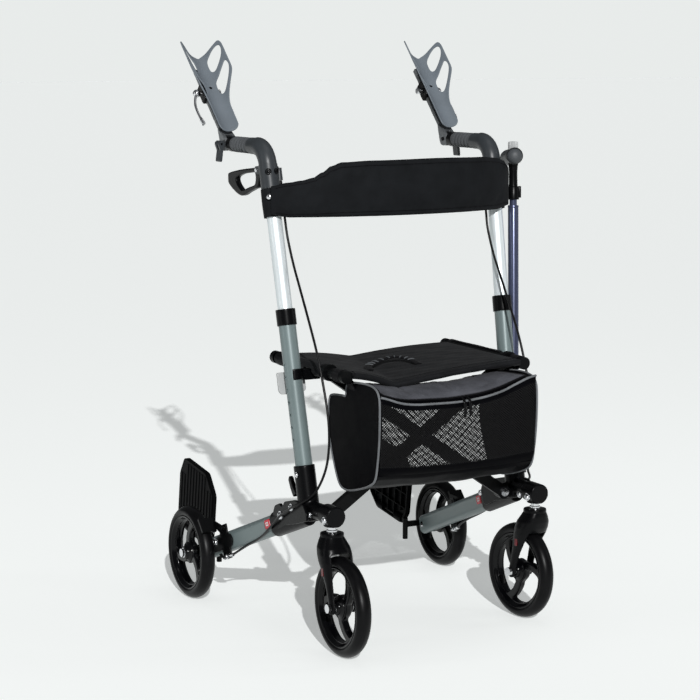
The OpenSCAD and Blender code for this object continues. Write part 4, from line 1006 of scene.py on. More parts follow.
def with_normals(point):
    """Adds the normal to a surface given as point(u, v)."""

    def surface(u, v):
        a, b = point(max(0, u - NORMAL_STEP), v), point(min(1, u + NORMAL_STEP), v)
        c, d = point(u, max(0, v - NORMAL_STEP)), point(u, min(1, v + NORMAL_STEP))
        return point(u, v), (b - a).cross(d - c).normalized()

    return surface


def pillow(name, point, across, along, thick, rim=0.5):
    """A closed padded panel over point(u, v), thin at its rim."""
    surface = with_normals(point)
    bm = bmesh.new()
    skins = []
    for way in (1, -1):
        rows = []
        for v in shares(along):
            row = []
            for u in shares(across):
                p, n = surface(u, v)
                edge = min(1.0, min(u, 1 - u) * across / 4.0, min(v, 1 - v) * along / 4.0)
                half = thick / 2 * (rim + (1 - rim) * math.sqrt(max(0.0, 1 - (1 - edge) ** 2)))
                row.append(bm.verts.new(p + way * half * n))
            rows.append(row)
        skins.append(rows)
    a, b = skins
    for j in range(along):
        for i in range(across):
            bm.faces.new((a[j][i], a[j][i + 1], a[j + 1][i + 1], a[j + 1][i]))
            bm.faces.new((b[j][i], b[j + 1][i], b[j + 1][i + 1], b[j][i + 1]))
    ring = [(0, i) for i in range(across)] + [(j, across) for j in range(along)]
    ring += [(along, i) for i in range(across, 0, -1)] + [(j, 0) for j in range(along, 0, -1)]
    for (j, i), (q, p) in zip(ring, ring[1:] + ring[:1]):
        bm.faces.new((a[j][i], b[j][i], b[q][p], a[q][p]))
    bmesh.ops.recalc_face_normals(bm, faces=bm.faces)
    return mesh_object(name, bm, 60)


def settle(ob, across, along, hem, spare, cap):
    """Lets a pillow fill out as cloth with a little spare width, held by hem rows along its rim."""
    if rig.quick():
        return ob
    start = [v.co.copy() for v in ob.data.vertices]
    layer = (across + 1) * (along + 1)
    held = []
    for k in range(2 * layer):
        j, i = divmod(k % layer, across + 1)
        if min(i, across - i) < 2 or min(j, along - j) < hem:
            held.append(k)
    ob.vertex_groups.new(name="rim").add(held, 1.0, "REPLACE")
    cloth = ob.modifiers.new("cloth", "CLOTH")
    cloth.settings.quality = 5
    cloth.settings.mass = 0.2
    cloth.settings.vertex_group_mass = "rim"
    cloth.settings.use_pressure = True
    cloth.settings.uniform_pressure_force = CLOTH_PRESSURE
    cloth.settings.shrink_min = -spare
    cloth.settings.effector_weights.gravity = 0
    cloth.point_cache.frame_start, cloth.point_cache.frame_end = 1, CLOTH_FRAMES
    for step in range(1, CLOTH_FRAMES + 1):
        bpy.context.scene.frame_set(step)
    apply_modifiers(ob)
    bpy.context.scene.frame_set(1)
    for v, p in zip(ob.data.vertices, start):
        shift = v.co - p
        if shift.length > cap:
            v.co = p + shift * (cap / shift.length)
    ob.vertex_groups.clear()
    ob.data.update()
    return shade(ob, 60)


def net(name, point, across, along, strand):
    """A see-through net of diamonds over point(u, v)."""
    bm = bmesh.new()
    dots = {}

    def dot(i, j):
        if (i, j) not in dots:
            dots[(i, j)] = bm.verts.new(point(i / across, j / along))
        return dots[(i, j)]

    for j in range(1, along):
        for i in range(1, across):
            if (i + j) % 2:
                bm.faces.new((dot(i - 1, j), dot(i, j - 1), dot(i + 1, j), dot(i, j + 1)))
    ob = mesh_object(name, bm)
    bpy.context.view_layer.update()
    wire = ob.modifiers.new("strands", "WIREFRAME")
    wire.thickness = strand
    wire.use_boundary = True
    wire.use_even_offset = False
    return shade(apply_modifiers(ob), 180)


# Seat

SEAT_FRONT, SEAT_DEEP, SEAT_T, SEAT_MID = -0.262, 0.298, 0.0095, 0.0050
SEAT_TOP, SEAT_CROWN, SEAT_SPAN = 0.558, 0.004, 0.1965
# The crease's place at the front and its way sideways to the rear, and its depth and what that loses
CREASE_X, CREASE_RUN, CREASE_DEEP, CREASE_RISE = -0.100, 0.055, 0.026, 0.012
SLEEVE_FRONT, SLEEVE_LEN, SLEEVE_R, SLEEVE_T = -0.160, 0.196, 0.0132, 0.0022
SLEEVE_FROM, SLEEVE_SWEEP = 100, 285
HOOK_FRONT, HOOK_REAR, HOOK_TOP = -0.133, -0.095, 0.549
SEAM_R = 0.0007


def seat_height(x, v):
    """Top of the seat: two crowned panels that meet in a slanting crease."""
    crease = CREASE_X + v * CREASE_RUN
    drop = CREASE_DEEP - v * CREASE_RISE
    edge = -SEAT_SPAN if x < crease else SEAT_SPAN
    out = (x - crease) / (edge - crease)
    soft_out = math.sqrt(out * out + 0.0016) - 0.04 * (1 - min(1, out))
    return SEAT_TOP - drop * (1 - min(1.0, soft_out)) + SEAT_CROWN * bump(min(1, out))


def seat_point(u, v):
    x = SEAT_EDGE * (2 * u - 1)
    y = SEAT_FRONT + SEAT_DEEP * v
    ease = min(1, 8 * min(u, 1 - u), 8 * min(v, 1 - v))
    return Vector((x, y, seat_height(x, v) - SEAT_MID + 0.0011 * ease * noise(x * 2.2, y * 2.6, 0.7)))


def make_sleeve(side, out):
    """The seat's side, wrapped round its rail and cut out below at the rail's hook."""
    rows = []
    for t in shares(40):
        y = SLEEVE_FRONT + SLEEVE_LEN * t
        row = []
        for q in shares(24):
            a = math.radians(SLEEVE_FROM - SLEEVE_SWEEP * q)
            r = SLEEVE_R + 0.0003 * math.sin(9 * a + 60 * y)
            row.append(Vector((out * (RAIL_X + r * math.cos(a)), y, RAIL_Z + r * math.sin(a))))
        rows.append(row)
    bm = bmesh.new()
    grid = [[bm.verts.new(p) for p in row] for row in rows]
    for a, b in zip(grid, grid[1:]):
        for q in range(len(a) - 1):
            y = (a[q].co.y + b[q].co.y) / 2
            if not (HOOK_FRONT < y < HOOK_REAR and a[q].co.z < HOOK_TOP):
                bm.faces.new((a[q], a[q + 1], b[q + 1], b[q]))
    bmesh.ops.delete(bm, geom=[v for v in bm.verts if not v.link_faces], context="VERTS")
    bmesh.ops.recalc_face_normals(bm, faces=bm.faces)
    sleeve = thicken(mesh_object("seat_sleeve_" + side, bm), SLEEVE_T)
    dress(sleeve, "rail_" + side, "seat_fabric")
    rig.sheet(sleeve, (0.066, 0.196), "stretched", ["seat_rail_" + side], area=0.0108)


HEM_HALF, HEM_Y, HEM_DROP, HEM_R, HEM_FLAT = 0.192, -0.2590, 0.0072, 0.0074, 0.86
SEAM_HALF, SEAM_SINK = 0.190, 0.0003
SEAT_SEAMS = {"front": -0.2465, "rear": 0.0230}
# The strap's middle line: x, y and height over the seat
STRAP = [
    (-0.110, -0.176, 0.0), (-0.098, -0.146, 0.004), (-0.066, -0.118, 0.010),
    (-0.022, -0.109, 0.011), (0.004, -0.130, 0.006), (0.008, -0.166, 0.0),
]
STRAP_R, STRAP_FLAT, STRAP_LIFT = 0.0085, 0.22, 0.0015
# A ridge across the strap: way out, and radius there
RIDGE = [(-0.0085, 0.0008), (-0.006, 0.0015), (0, 0.0017), (0.006, 0.0015), (0.0085, 0.0008)]
RIDGE_LIFT, RIDGE_SLOPE, RIDGES, RIDGE_FIRST, RIDGE_STEP = 0.0022, 0.12, 9, 10, 3


def make_seat():
    panel = on_rails(pillow("seat_panel", seat_point, 76, 60, SEAT_T), "seat_fabric", "seat_sling")
    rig.padded(panel, 0.3)
    for side, out in SIDES.items():
        make_sleeve(side, out)


def make_seat_trim():
    """The rolled front hem, and a seam along the front and the rear edge."""
    line = []
    for t in shares(60):
        x = HEM_HALF * (2 * t - 1)
        line.append((x, HEM_Y + 0.0006 * noise(x * 3, 0.4, 1.1), seat_height(x, 0.0) - HEM_DROP))
    radii = [HEM_R + 0.0005 * noise(x * 2.3, 0.1, 2.0) for x, y, z in line]
    hem = on_rails(tube("seat_hem", line, radii, 16, flat=HEM_FLAT), "seat_fabric")
    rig.padded(hem, 0.5)
    for name, y in SEAT_SEAMS.items():
        v = (y - SEAT_FRONT) / SEAT_DEEP
        spots = [SEAM_HALF * (2 * t - 1) for t in shares(60)]
        path = [(x, y, seat_height(x, v) - SEAM_SINK) for x in spots]
        on_rails(tube("seat_seam_" + name, path, SEAM_R, 6), "seat_fabric", mat="webbing")


def make_strap():
    """The ridged carrying strap on the seat."""
    line = []
    for x, y, lift in STRAP:
        line.append((x, y, seat_height(x, (y - SEAT_FRONT) / SEAT_DEEP) + STRAP_LIFT + lift))
    path = smooth_path(line, 8)
    strap = on_rails(tube("seat_strap", path, STRAP_R, 14, flat=STRAP_FLAT), "seat_fabric", mat="webbing")
    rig.sheet(strap, (0.018, 0.21), "laid", ["seat_sling"])
    for k in range(RIDGES):
        i = RIDGE_FIRST + RIDGE_STEP * k
        across = (path[i + 1] - path[i]).normalized().cross(Vector((0, 0, 1))).normalized()
        spots = [path[i] + across * t + Vector((0, 0, RIDGE_LIFT - abs(t) * RIDGE_SLOPE)) for t, r in RIDGE]
        ridge = tube("seat_strap_ridge_%d" % k, spots, [r for t, r in RIDGE], 8)
        on_rails(ridge, "seat_fabric", mat="grip_rubber")


# Backrest band

BAND_FOOT, BAND_H, BAND_X, BAND_Y, BAND_R = 0.8474, 0.116, 0.2615, -0.1283, 0.6492
# Start and run of the band as shares of BAND_X, and its top edge there as a share of BAND_H
BAND_START, BAND_RUN = -1.06, 2.145
BAND_TOP = [
    (-1.06, 0.56), (-0.94, 0.62), (-0.84, 0.655), (-0.76, 0.70), (-0.69, 0.79), (-0.62, 0.90), (-0.54, 0.962),
    (-0.3, 0.985), (0.3, 1.0), (0.75, 0.985), (0.92, 0.955), (1.01, 0.90), (1.06, 0.80), (1.085, 0.66),
]
BAND_T, BAND_ANCHOR, BAND_FOLDED = 0.0125, -0.262, 0.47
BAND_SEAMS, SEAM_START, SEAM_RUN, SEAM_OUT = {"low": 0.085, "high": 0.915}, 0.015, 0.97, 0.0064
LOOP_FOOT, LOOP_H, LOOP_R, LOOP_PUFF, LOOP_INNER = 0.5015, 0.0575, 0.0205, 0.0006, 0.95
BAND_SCREW = [
    (0, 0.0042), (0.003, 0.004), (0.0048, 0.003), (0.0058, 0.0012), (0.006, 0), (0.006, -0.002), (0, -0.002),
]
AT_BAND_SCREW = {
    "r": move(0.0155, -0.0215, 0.541) @ tilt_of("Z", 34) @ tilt_of("X", 90),
    "l": move(-0.0145, -0.004, 0.535) @ tilt_of("Z", -15) @ tilt_of("Y", -90),
}


def band_point(u, v):
    s = BAND_START + BAND_RUN * u
    x = s * BAND_X
    y = BAND_Y + BAND_R - math.sqrt(BAND_R ** 2 - x * x)
    low = 0.02 + 0.06 * max(0.0, abs(s) - 0.94) / 0.13
    height = low + (between(BAND_TOP, s, ease=True) - low) * v
    puff = 0.0012 * noise(x * 1.4, height * 0.2, 2.1) * bump(v)
    return Vector((x, y + puff, BAND_FOOT + BAND_H * height))


def on_band(ob, slot, *nodes, mat=None):
    dress(ob, "handle_r", slot, *nodes, mat=mat)
    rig.squash(ob, "fold", (1, 0, 0), (BAND_ANCHOR, 0, 0), BAND_FOLDED)
    return ob


def make_band():
    band = pillow("band_pad", band_point, 96, 26, BAND_T, 0.35)
    band = settle(band, 96, 26, hem=4, spare=0.012, cap=0.0028)
    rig.padded(on_band(band, "band_fabric", "backrest_band"), 0.6)
    surface = with_normals(band_point)
    for name, v in BAND_SEAMS.items():
        line = [surface(SEAM_START + SEAM_RUN * t, v) for t in shares(96)]
        for face, way in (("front", 1), ("back", -1)):
            path = [p + way * SEAM_OUT * n for p, n in line]
            on_band(tube("band_seam_%s_%s" % (name, face), path, SEAM_R, 6), "band_fabric", mat="webbing")
    for side in SIDES:
        make_band_end(side)


def make_band_end(side):
    """The loop round the handle tube, and the screw that holds the band's end."""
    at, body = sided(side, AT_UPRIGHT), "handle_" + side
    rows = []
    for t in shares(18):
        r = LOOP_R + LOOP_PUFF * bump(t)
        rows.append([Vector((r * math.sin(a), -r * math.cos(a), LOOP_FOOT + LOOP_H * t)) for a in angles(32)])
    inner = [[Vector((p.x * LOOP_INNER, p.y * LOOP_INNER, p.z)) for p in row] for row in rows]
    skin = loft("band_loop_" + side, rows + inner[::-1], around=True, along=True)
    dress(place(skin, at), body, "band_fabric")
    screw = turned("band_screw_" + side, BAND_SCREW, at @ AT_BAND_SCREW[side], 24)
    if side == "r":
        on_band(screw, "steel")
    else:
        dress(screw, body, "steel")


# Bag under the seat

# A side panel's outline in millimetres, with a notch at its upper rear corner for the brace
SIDE_PANEL = [
    (-229, 531), (-286, 536), (-322, 533), (-339, 521), (-344, 496), (-343, 438), (-337, 390), (-326, 352),
    (-296, 334), (-240, 317), (-201, 312), (-177, 322), (-156, 358), (-139, 404), (-133, 455), (-136, 486),
    (-150, 496), (-190, 500), (-205, 502), (-210, 522),
]
PANEL_T, PANEL_MIDDLE, PIPING_X, PIPING_GROW = 0.008, (-0.24, 0.43), 0.1808, 1.004
PIPING_R, FRONT_PIPING_R, FRONT_PIPING_OUT = 0.0021, 0.0023, 0.001
# Height of the front edge across the bag, in millimetres, and the places averaged to smooth it
FRONT_TOP = [
    (-181, 522), (-155, 509), (-116, 498), (-62, 496.5), (6, 495.5),
    (74, 503), (120, 516), (148, 531), (181, 538),
]
FRONT_SMOOTH = (-24, -12, 0, 12, 24)
BAG_HALF, BACK_HALF, BAG_FRONT, BAG_BACK, LID_DEEP = 0.178, 0.176, -0.3430, -0.2105, 0.134
FRONT_LOW, BACK_LOW, BACK_TOP, LID_REAR = 0.361, 0.322, 0.500, 0.509
# The floor's line from front to rear
FLOOR_LINE = [
    (-0.3335, 0.361), (-0.325, 0.353), (-0.296, 0.336), (-0.262, 0.325), (-0.235, 0.319), (-0.212, 0.3165),
]
NET_AREA, FRONT_STRAND, BACK_STRAND = 0.042, 0.0025, 0.0022


def front_top(x):
    """Height of the bag's front edge, averaged so that it runs smoothly."""
    return sum(between(FRONT_TOP, x / MM + d) for d in FRONT_SMOOTH) / len(FRONT_SMOOTH) * MM


def bag_front(u, v):
    x = BAG_HALF * (2 * u - 1)
    low = FRONT_LOW - 0.004 * bump(u)
    bulge = bump(u) * bump(min(1, v + 0.1))
    z = low + (front_top(x) - low) * v
    y = BAG_FRONT - 0.006 * bulge + 0.0025 * noise(x * 0.7, z * 0.9, 1.3) * bulge
    y += 0.011 * max(0.0, 1 - v * 5) ** 2
    return Vector((x, y, z))


def bag_back(u, v):
    x = BACK_HALF * (2 * u - 1)
    return Vector((x, BAG_BACK + 0.002 * bump(u) * bump(v), BACK_LOW + (BACK_TOP - BACK_LOW) * v))


def bag_floor(u, v):
    x = BAG_HALF * (2 * u - 1)
    t = v * (len(FLOOR_LINE) - 1)
    i = min(int(t), len(FLOOR_LINE) - 2)
    y, z = (a + (b - a) * (t - i) for a, b in zip(FLOOR_LINE[i], FLOOR_LINE[i + 1]))
    return Vector((x, y, z - 0.006 * bump(u) * bump(v) + 0.003 * noise(x, y, 3.7) * bump(u)))


def bag_lid(u, v):
    """The closed top, from the front edge back under the seat."""
    x = BAG_HALF * (2 * u - 1)
    y = BAG_FRONT + LID_DEEP * v
    front = front_top(x)
    rear = LID_REAR + 0.018 * (x / BAG_HALF) ** 2
    lift = 0.006 * bump(v) * bump(u) + 0.0012 * noise(x, y, 5.0) * bump(u)
    return Vector((x, y, front + (rear - front) * v ** 0.8 + lift))


def make_bag_side(side, out):
    outline = flat_line(in_metres(SIDE_PANEL), 6)
    panel = slab("bag_side_" + side, [outline], move(out * BAG_EDGE, 0, 0), width=PANEL_T, bevel=0.003)
    dress(panel, "rail_" + side, "bag_fabric", *(["front_bag"] if side == "r" else []))
    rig.padded(panel, 0.4)
    line = []
    for point in outline:
        y, z = (m + (c - m) * PIPING_GROW for m, c in zip(PANEL_MIDDLE, point))
        line.append((out * PIPING_X, y, z))
    piping = tube("bag_piping_" + side, line + line[:1], PIPING_R, 10)
    dress(piping, "rail_" + side, "bag_fabric", mat="piping")


def hung(ob, flat, area=None, mat=None):
    """A sheet of the bag, hung between the rails."""
    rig.sheet(on_rails(ob, "bag_fabric", mat=mat), flat, "hung", ["front_bag"], area=area)


def make_bag_skins():
    net_front = net("bag_net_front", lambda u, v: bag_front(u, 0.10 + 0.86 * v), 138, 54, FRONT_STRAND)
    hung(net_front, (0.36, 0.16), NET_AREA, "net")
    hung(net("bag_net_back", bag_back, 100, 52, BACK_STRAND), (0.36, 0.18), NET_AREA, "net")
    hung(pillow("bag_hem_low", lambda u, v: bag_front(u, 0.115 * v), 70, 6, 0.0034), (0.36, 0.018))
    edge = [bag_front(u, 1.0) - Vector((0, FRONT_PIPING_OUT, 0)) for u in shares(80)]
    on_rails(tube("bag_piping_front", edge, FRONT_PIPING_R, 10), "bag_fabric", mat="piping")
    hung(pillow("bag_hem_high", lambda u, v: bag_front(u, 0.915 + 0.08 * v), 70, 5, 0.003), (0.36, 0.011))
    hung(pillow("bag_floor", bag_floor, 72, 30, 0.003, 0.6), (0.37, 0.15))
    hung(pillow("bag_lid_rim", bag_lid, 72, 30, 0.003, 0.6), (0.38, 0.16))


LID_PAD_LIFT, LID_PAD_T = Vector((0, 0, 0.0035)), 0.0065
ZIP_INSET, ZIP_FRONT, ZIP_REAR, ZIP_LIFT = 0.04, 0.10, 0.95, Vector((0, 0, 0.0028))
# Share of the zip on each side of the lid, and how far forward it runs there
ZIP_SIDE, ZIP_SIDE_RUN = 0.2, 0.80
ZIP_R, ZIP_TOOTH_R, ZIP_PULLS = 0.0018, 0.0022, {"a": 0.525, "b": 0.56}
STRAP_YS, STRAP_T = (-0.244, -0.238, -0.230, -0.222, -0.216), 0.0018
STRAP_START, STRAP_LOOP_R = [(0.1795, 0.508), (0.181, 0.520), (0.187, 0.531)], 0.0128
STRAP_FROM, STRAP_SWEEP = 250, 320


def lid_pad_point(u, v):
    return bag_lid(0.05 + 0.9 * u, 0.13 + 0.84 * v) + LID_PAD_LIFT


def zip_spot(t):
    """The zip's way round the lid: forward on one side, across the front and back on the other."""
    if t < ZIP_SIDE:
        return ZIP_INSET, ZIP_REAR - ZIP_SIDE_RUN * t / ZIP_SIDE
    if t < 1 - ZIP_SIDE:
        return ZIP_INSET + (1 - 2 * ZIP_INSET) * (t - ZIP_SIDE) / (1 - 2 * ZIP_SIDE), ZIP_FRONT
    return 1 - ZIP_INSET, ZIP_REAR - ZIP_SIDE_RUN * (1 - t) / ZIP_SIDE


def make_bag_lid():
    pad = pillow("bag_lid_pad", lid_pad_point, 72, 30, LID_PAD_T, 0.3)
    pad = settle(pad, 72, 30, hem=2, spare=0.015, cap=0.0035)
    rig.padded(on_rails(pad, "bag_fabric", mat="lid_fabric"), 0.4)
    track = [bag_lid(*zip_spot(t)) + ZIP_LIFT for t in shares(120)]
    radii = [ZIP_TOOTH_R if k % 2 else ZIP_R for k in range(len(track))]
    on_rails(tube("bag_zip", track, radii, 8), "bag_fabric", mat="webbing")
    for name, u in ZIP_PULLS.items():
        top = bag_lid(u, 0.06) + Vector((0, 0, 0.004))
        rim = bag_front(u, 0.97) + Vector((0, -0.0045, 0.004))
        ends = [rim + Vector((0.001, -0.001, -0.014)), rim + Vector((0.002, -0.0005, -0.030))]
        path = smooth_path([top, rim] + ends, 6)
        radii = [0.0032] * 8 + [0.0036] * (len(path) - 8)
        pull = tube("bag_zip_pull_" + name, path, radii, 10, flat=0.4, up=(0, -1, 0.2))
        on_rails(pull, "bag_fabric", mat="black_plastic")


def make_bag_strap(side, out):
    """The loop of webbing that hangs the bag on its rail."""
    path = list(STRAP_START)
    for t in shares(20):
        a = math.radians(STRAP_FROM - STRAP_SWEEP * t)
        path.append((RAIL_X + STRAP_LOOP_R * math.cos(a), RAIL_Z + STRAP_LOOP_R * math.sin(a)))
    rows = [[Vector((out * x, y, z)) for y in STRAP_YS] for x, z in path]
    strap = thicken(loft("bag_strap_" + side, rows), STRAP_T)
    dress(strap, "rail_" + side, "bag_fabric", mat="webbing")
    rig.sheet(strap, (0.028, 0.10), "gathered", ["seat_rail_" + side], area=0.0028)


def make_bag():
    for side, out in SIDES.items():
        make_bag_side(side, out)
    make_bag_skins()
    make_bag_lid()
    for side, out in SIDES.items():
        make_bag_strap(side, out)


# Wheels


def mirrored(profile):
    """A profile that is the same on both sides of the wheel's middle."""
    return profile + [(r, -h) for r, h in reversed(profile)]


TYRE = mirrored([
    (0.079, 0.0115), (0.0812, 0.0138), (0.0835, 0.0153), (0.087, 0.0159), (0.09, 0.0155), (0.0928, 0.0141),
    (0.0953, 0.012), (0.0974, 0.0093), (0.0989, 0.0062), (0.0997, 0.0028), (0.0999, 0.001), (0.1, 0.0004),
])
WELL = mirrored([
    (0.0702, 0.0045), (0.0706, 0.0062), (0.0716, 0.0076), (0.0732, 0.0092), (0.0748, 0.0114),
    (0.076, 0.0133), (0.0772, 0.0142), (0.079, 0.0145), (0.0803, 0.0138), (0.0806, 0.0115),
])
HUB = mirrored([
    (0, 0.0185), (0.0100, 0.0185), (0.0122, 0.0180), (0.0140, 0.0160), (0.0150, 0.0125), (0.0185, 0.0100),
    (0.0222, 0.0085), (0.0232, 0.0060),
])
DUST_RING = [
    (0.0075, 0), (0.0098, 0), (0.0104, 0.0006), (0.0104, 0.0012), (0.0092, 0.0016), (0.0075, 0.0014),
]
DUST_RING_OUT, DISC_R, DISC_T = 0.0182, 0.0730, 0.0150
# Half a spoke's width at each radius, and the window's tip and outer arc
SPOKE = [(0.0265, 0.0100), (0.034, 0.0096), (0.046, 0.0092), (0.058, 0.0100), (0.0665, 0.0125)]
SPOKE_FROM, SPOKE_RUN, SPOKE_SWEEP = 0.026, 0.042, 26
WINDOW_TIP_R, WINDOW_R, WINDOW_ARC = 0.0245, 0.0702, (-30, -15, 0, 15, 30)
WINDOW_TURN = 20
WHEEL_TURN = {"rear_r": 20, "rear_l": 20, "caster_r": 97, "caster_l": 90}


def wheel_window(turn):
    """The opening between two of the three swept spokes, in (y, z)."""
    sides = []
    for end in (-1, 1):
        line = []
        for r, half in SPOKE:
            sweep = SPOKE_SWEEP * (r - SPOKE_FROM) / SPOKE_RUN
            line.append((r, end * (60 - math.degrees(half / r)) + sweep))
        sides.append(line)
    middle = (sides[0][-1][1] + sides[1][-1][1]) / 2
    arc = [(WINDOW_R, middle + d) for d in WINDOW_ARC]
    points = sides[0] + arc + sides[1][::-1] + [(WINDOW_TIP_R, 0)]
    flat = [(r * math.cos(math.radians(a + turn)), r * math.sin(math.radians(a + turn))) for r, a in points]
    return flat_line(flat, 4)


def make_wheel(kind, side, at):
    body = "%s_wheel_%s" % (kind, side)
    spin = tilt_of("Y", 90)
    tyre = ring_of("%s_tyre_piece_%s" % (kind, side), TYRE, at @ spin, 96)
    dress(tyre, body, "tyre", "%s_tyre_%s" % (kind, side))
    well = ring_of("well", WELL, spin, 96)
    windows = [wheel_window(WINDOW_TURN + 120 * k) for k in range(3)]
    turn = tilt_of("X", WHEEL_TURN["%s_%s" % (kind, side)] - WINDOW_TURN)
    disc = slab("disc", [circle(DISC_R, 96)] + windows, turn, width=DISC_T, bevel=0.0032)
    hub = turned("hub", HUB, spin, 48)
    rim = shade(joined("%s_rim_piece_%s" % (kind, side), [well, disc, hub]), 35)
    dress(place(rim, at), body, "rim_plastic", "%s_rim_%s" % (kind, side))
    for k, end in enumerate((-1, 1)):
        spot = at @ tilt_of("Y", 90 * end) @ move(0, 0, DUST_RING_OUT)
        dress(ring_of("%s_dust_ring_%s_%d" % (kind, side, k), DUST_RING, spot, 32), body, "steel")


# Foot plates and buttons

PLATE = [
    (0.032, -0.009), (0.148, -0.009), (0.188, 0.020), (0.188, 0.114),
    (0.168, 0.154), (0.052, 0.154), (0.012, 0.114), (0.012, 0.020),
]
PLATE_W, PLATE_START, PLATE_LEN, PLATE_END = 0.012, 0.012, 0.176, 0.2
PLATE_SKIN, PLATE_SKIN_X, PLATE_WALL = 0.0045, 0.0036, 0.006
# Where the cut corners end, and between which heights the ribs run in the middle and by the corners
CORNERS, MIDDLE_ENDS, CORNER_ENDS = (0.05, 0.15), (0.0, 0.146), (0.02, 0.118)
RIB, RIB_W, RIB_SPACES = 0.0013, 0.0105, 6
# Height of each cross rib, and where it starts
CROSS_RIBS = {0.03: 0.02, 0.065: 0.02, 0.1: 0.02, 0.132: 0.03}
TREAD, TREAD_T, TREAD_X, TREAD_LOW = 0.003, 0.002, 0.0064, 0.012
TREAD_START, TREAD_RUN, TREAD_SPACES = 0.024, 0.152, 10
HINGE_EYE = [(0.0041, 0), (0.0085, 0), (0.009, 0.0006), (0.009, 0.0294), (0.0085, 0.03), (0.0041, 0.03)]
HINGE_YS = (0.032, 0.118)
BUTTON, BUTTON_W = box_line(-0.0055, 0.2985, 0.0135, 0.3205), 0.033
MARK, MARK_HOLE = box_line(0.0000, 0.3045, 0.0080, 0.3145), box_line(0.0022, 0.3067, 0.0058, 0.3123)
MARK_W = 0.0334


def rib_ends(y):
    return MIDDLE_ENDS if CORNERS[0] < y < CORNERS[1] else CORNER_ENDS


def make_foot_plate(side):
    outline = rounded(PLATE, 0.008)
    wall = [outline, rounded(inset(PLATE, PLATE_WALL), 0.006)]
    parts = [
        slab("skin", [outline], move(PLATE_SKIN_X, 0, 0), width=PLATE_SKIN, bevel=0.0012),
        slab("wall", wall, STILL, width=PLATE_W, bevel=0.0012),
    ]
    ribs = []
    for k in range(1, RIB_SPACES):
        y = PLATE_START + PLATE_LEN * k / RIB_SPACES
        low, high = rib_ends(y)
        ribs.append(box_line(y - RIB, low, y + RIB, high))
    for z, end in CROSS_RIBS.items():
        ribs.append(box_line(end, z - RIB, PLATE_END - end, z + RIB))
    parts += [slab("rib", [rib], STILL, width=RIB_W, bevel=0.0006) for rib in ribs]
    for k in range(TREAD_SPACES + 1):
        y = TREAD_START + TREAD_RUN * k / TREAD_SPACES
        line = rounded(box_line(y - TREAD, TREAD_LOW, y + TREAD, rib_ends(y)[1]), 0.002)
        parts.append(slab("tread", [line], move(TREAD_X, 0, 0), width=TREAD_T, bevel=0.0006))
    for y in HINGE_YS:
        parts.append(ring_of("eye", HINGE_EYE, move(0, y, 0) @ tilt_of("X", -90), 28))
    plate = shade(joined("foot_plate_piece_" + side, parts), 35)
    place(plate, sided(side, AT_PLATE))
    dress(plate, "foot_plate_" + side, "black_plastic", "foot_plate_" + side, mat="matte_plastic")


def make_button(side):
    """The red release button through the leg, with a white mark."""
    at, body = sided(side, AT_LEG), "button_" + side
    button = slab("release_button_piece_" + side, [rounded(BUTTON, 0.003)], at, width=BUTTON_W, bevel=0.0016)
    dress(button, body, "red_plastic", "release_button_" + side)
    lines = [rounded(MARK, 0.001), rounded(MARK_HOLE, 0.0006)]
    mark = slab("release_mark_" + side, lines, at, width=MARK_W, bevel=0.0001)
    dress(mark, body, "red_plastic", mat="white_paint")


# Cane

CANE_TUBE = [
    (0, 0.02), (0.0112, 0.02), (0.0112, 0.5535), (0.0109, 0.5545), (0.0116, 0.5548), (0.0116, 0.5585),
    (0.0110, 0.5600), (0.008, 0.5602), (0.008, 0.63), (0, 0.63),
]
CANE_TIP = [
    (0, 0), (0.0138, 0), (0.0148, 0.001), (0.0149, 0.005), (0.014, 0.0055), (0.014, 0.0075), (0.0146, 0.008),
    (0.0132, 0.022), (0.0122, 0.026), (0.0113, 0.0262), (0, 0.0262),
]
CANE_NECK = [
    (0.0082, 0.572), (0.0118, 0.572), (0.0125, 0.5728), (0.0125, 0.598), (0.0118, 0.5992), (0.0098, 0.600),
    (0.0092, 0.606), (0.0090, 0.630), (0.0098, 0.642), (0.0118, 0.652), (0.0140, 0.662), (0, 0.664),
]
CANE_LATCH = [
    (-0.004, 0.576), (0.004, 0.576), (0.005, 0.59), (0.003, 0.601), (-0.003, 0.601), (-0.004, 0.59),
]
AT_LATCH = AT_CANE @ tilt_of("Z", -20) @ move(0.0138, 0, 0)
AT_CANE_HEAD = AT_CANE @ tilt_of("Z", -24)
# The grip's radius along it, its height on the cane and the rise and fall of its middle line
CANE_GRIP = [
    (-0.0345, 0.0040), (-0.0335, 0.0085), (-0.0305, 0.0130), (-0.0255, 0.0160), (-0.018, 0.0172),
    (-0.006, 0.0172), (0.010, 0.0164), (0.030, 0.0158), (0.050, 0.0163), (0.068, 0.0170), (0.078, 0.0168),
    (0.0865, 0.0145), (0.0915, 0.0105), (0.0940, 0.0055), (0.0946, 0.0020),
]
CANE_GRIP_Z, CANE_GRIP_WAVE = 0.664, 0.0012
CANE_RING = [(0.0100, 0.0), (0.0165, 0.0), (0.0176, 0.001), (0.0178, 0.0035), (0.0100, 0.0035)]
CANE_RING_Y = -0.0200
# The ridged cap: heights with shares of its radius, which is one in the grooves and one on the ridges
CANE_CAP = [(0.678, 0.9), (0.680, 1.0), (0.6925, 1.0), (0.6950, 0.92), (0.6956, 0.5)]
CAP_GROOVE_R, CAP_RIDGE_R = 0.0098, 0.0108


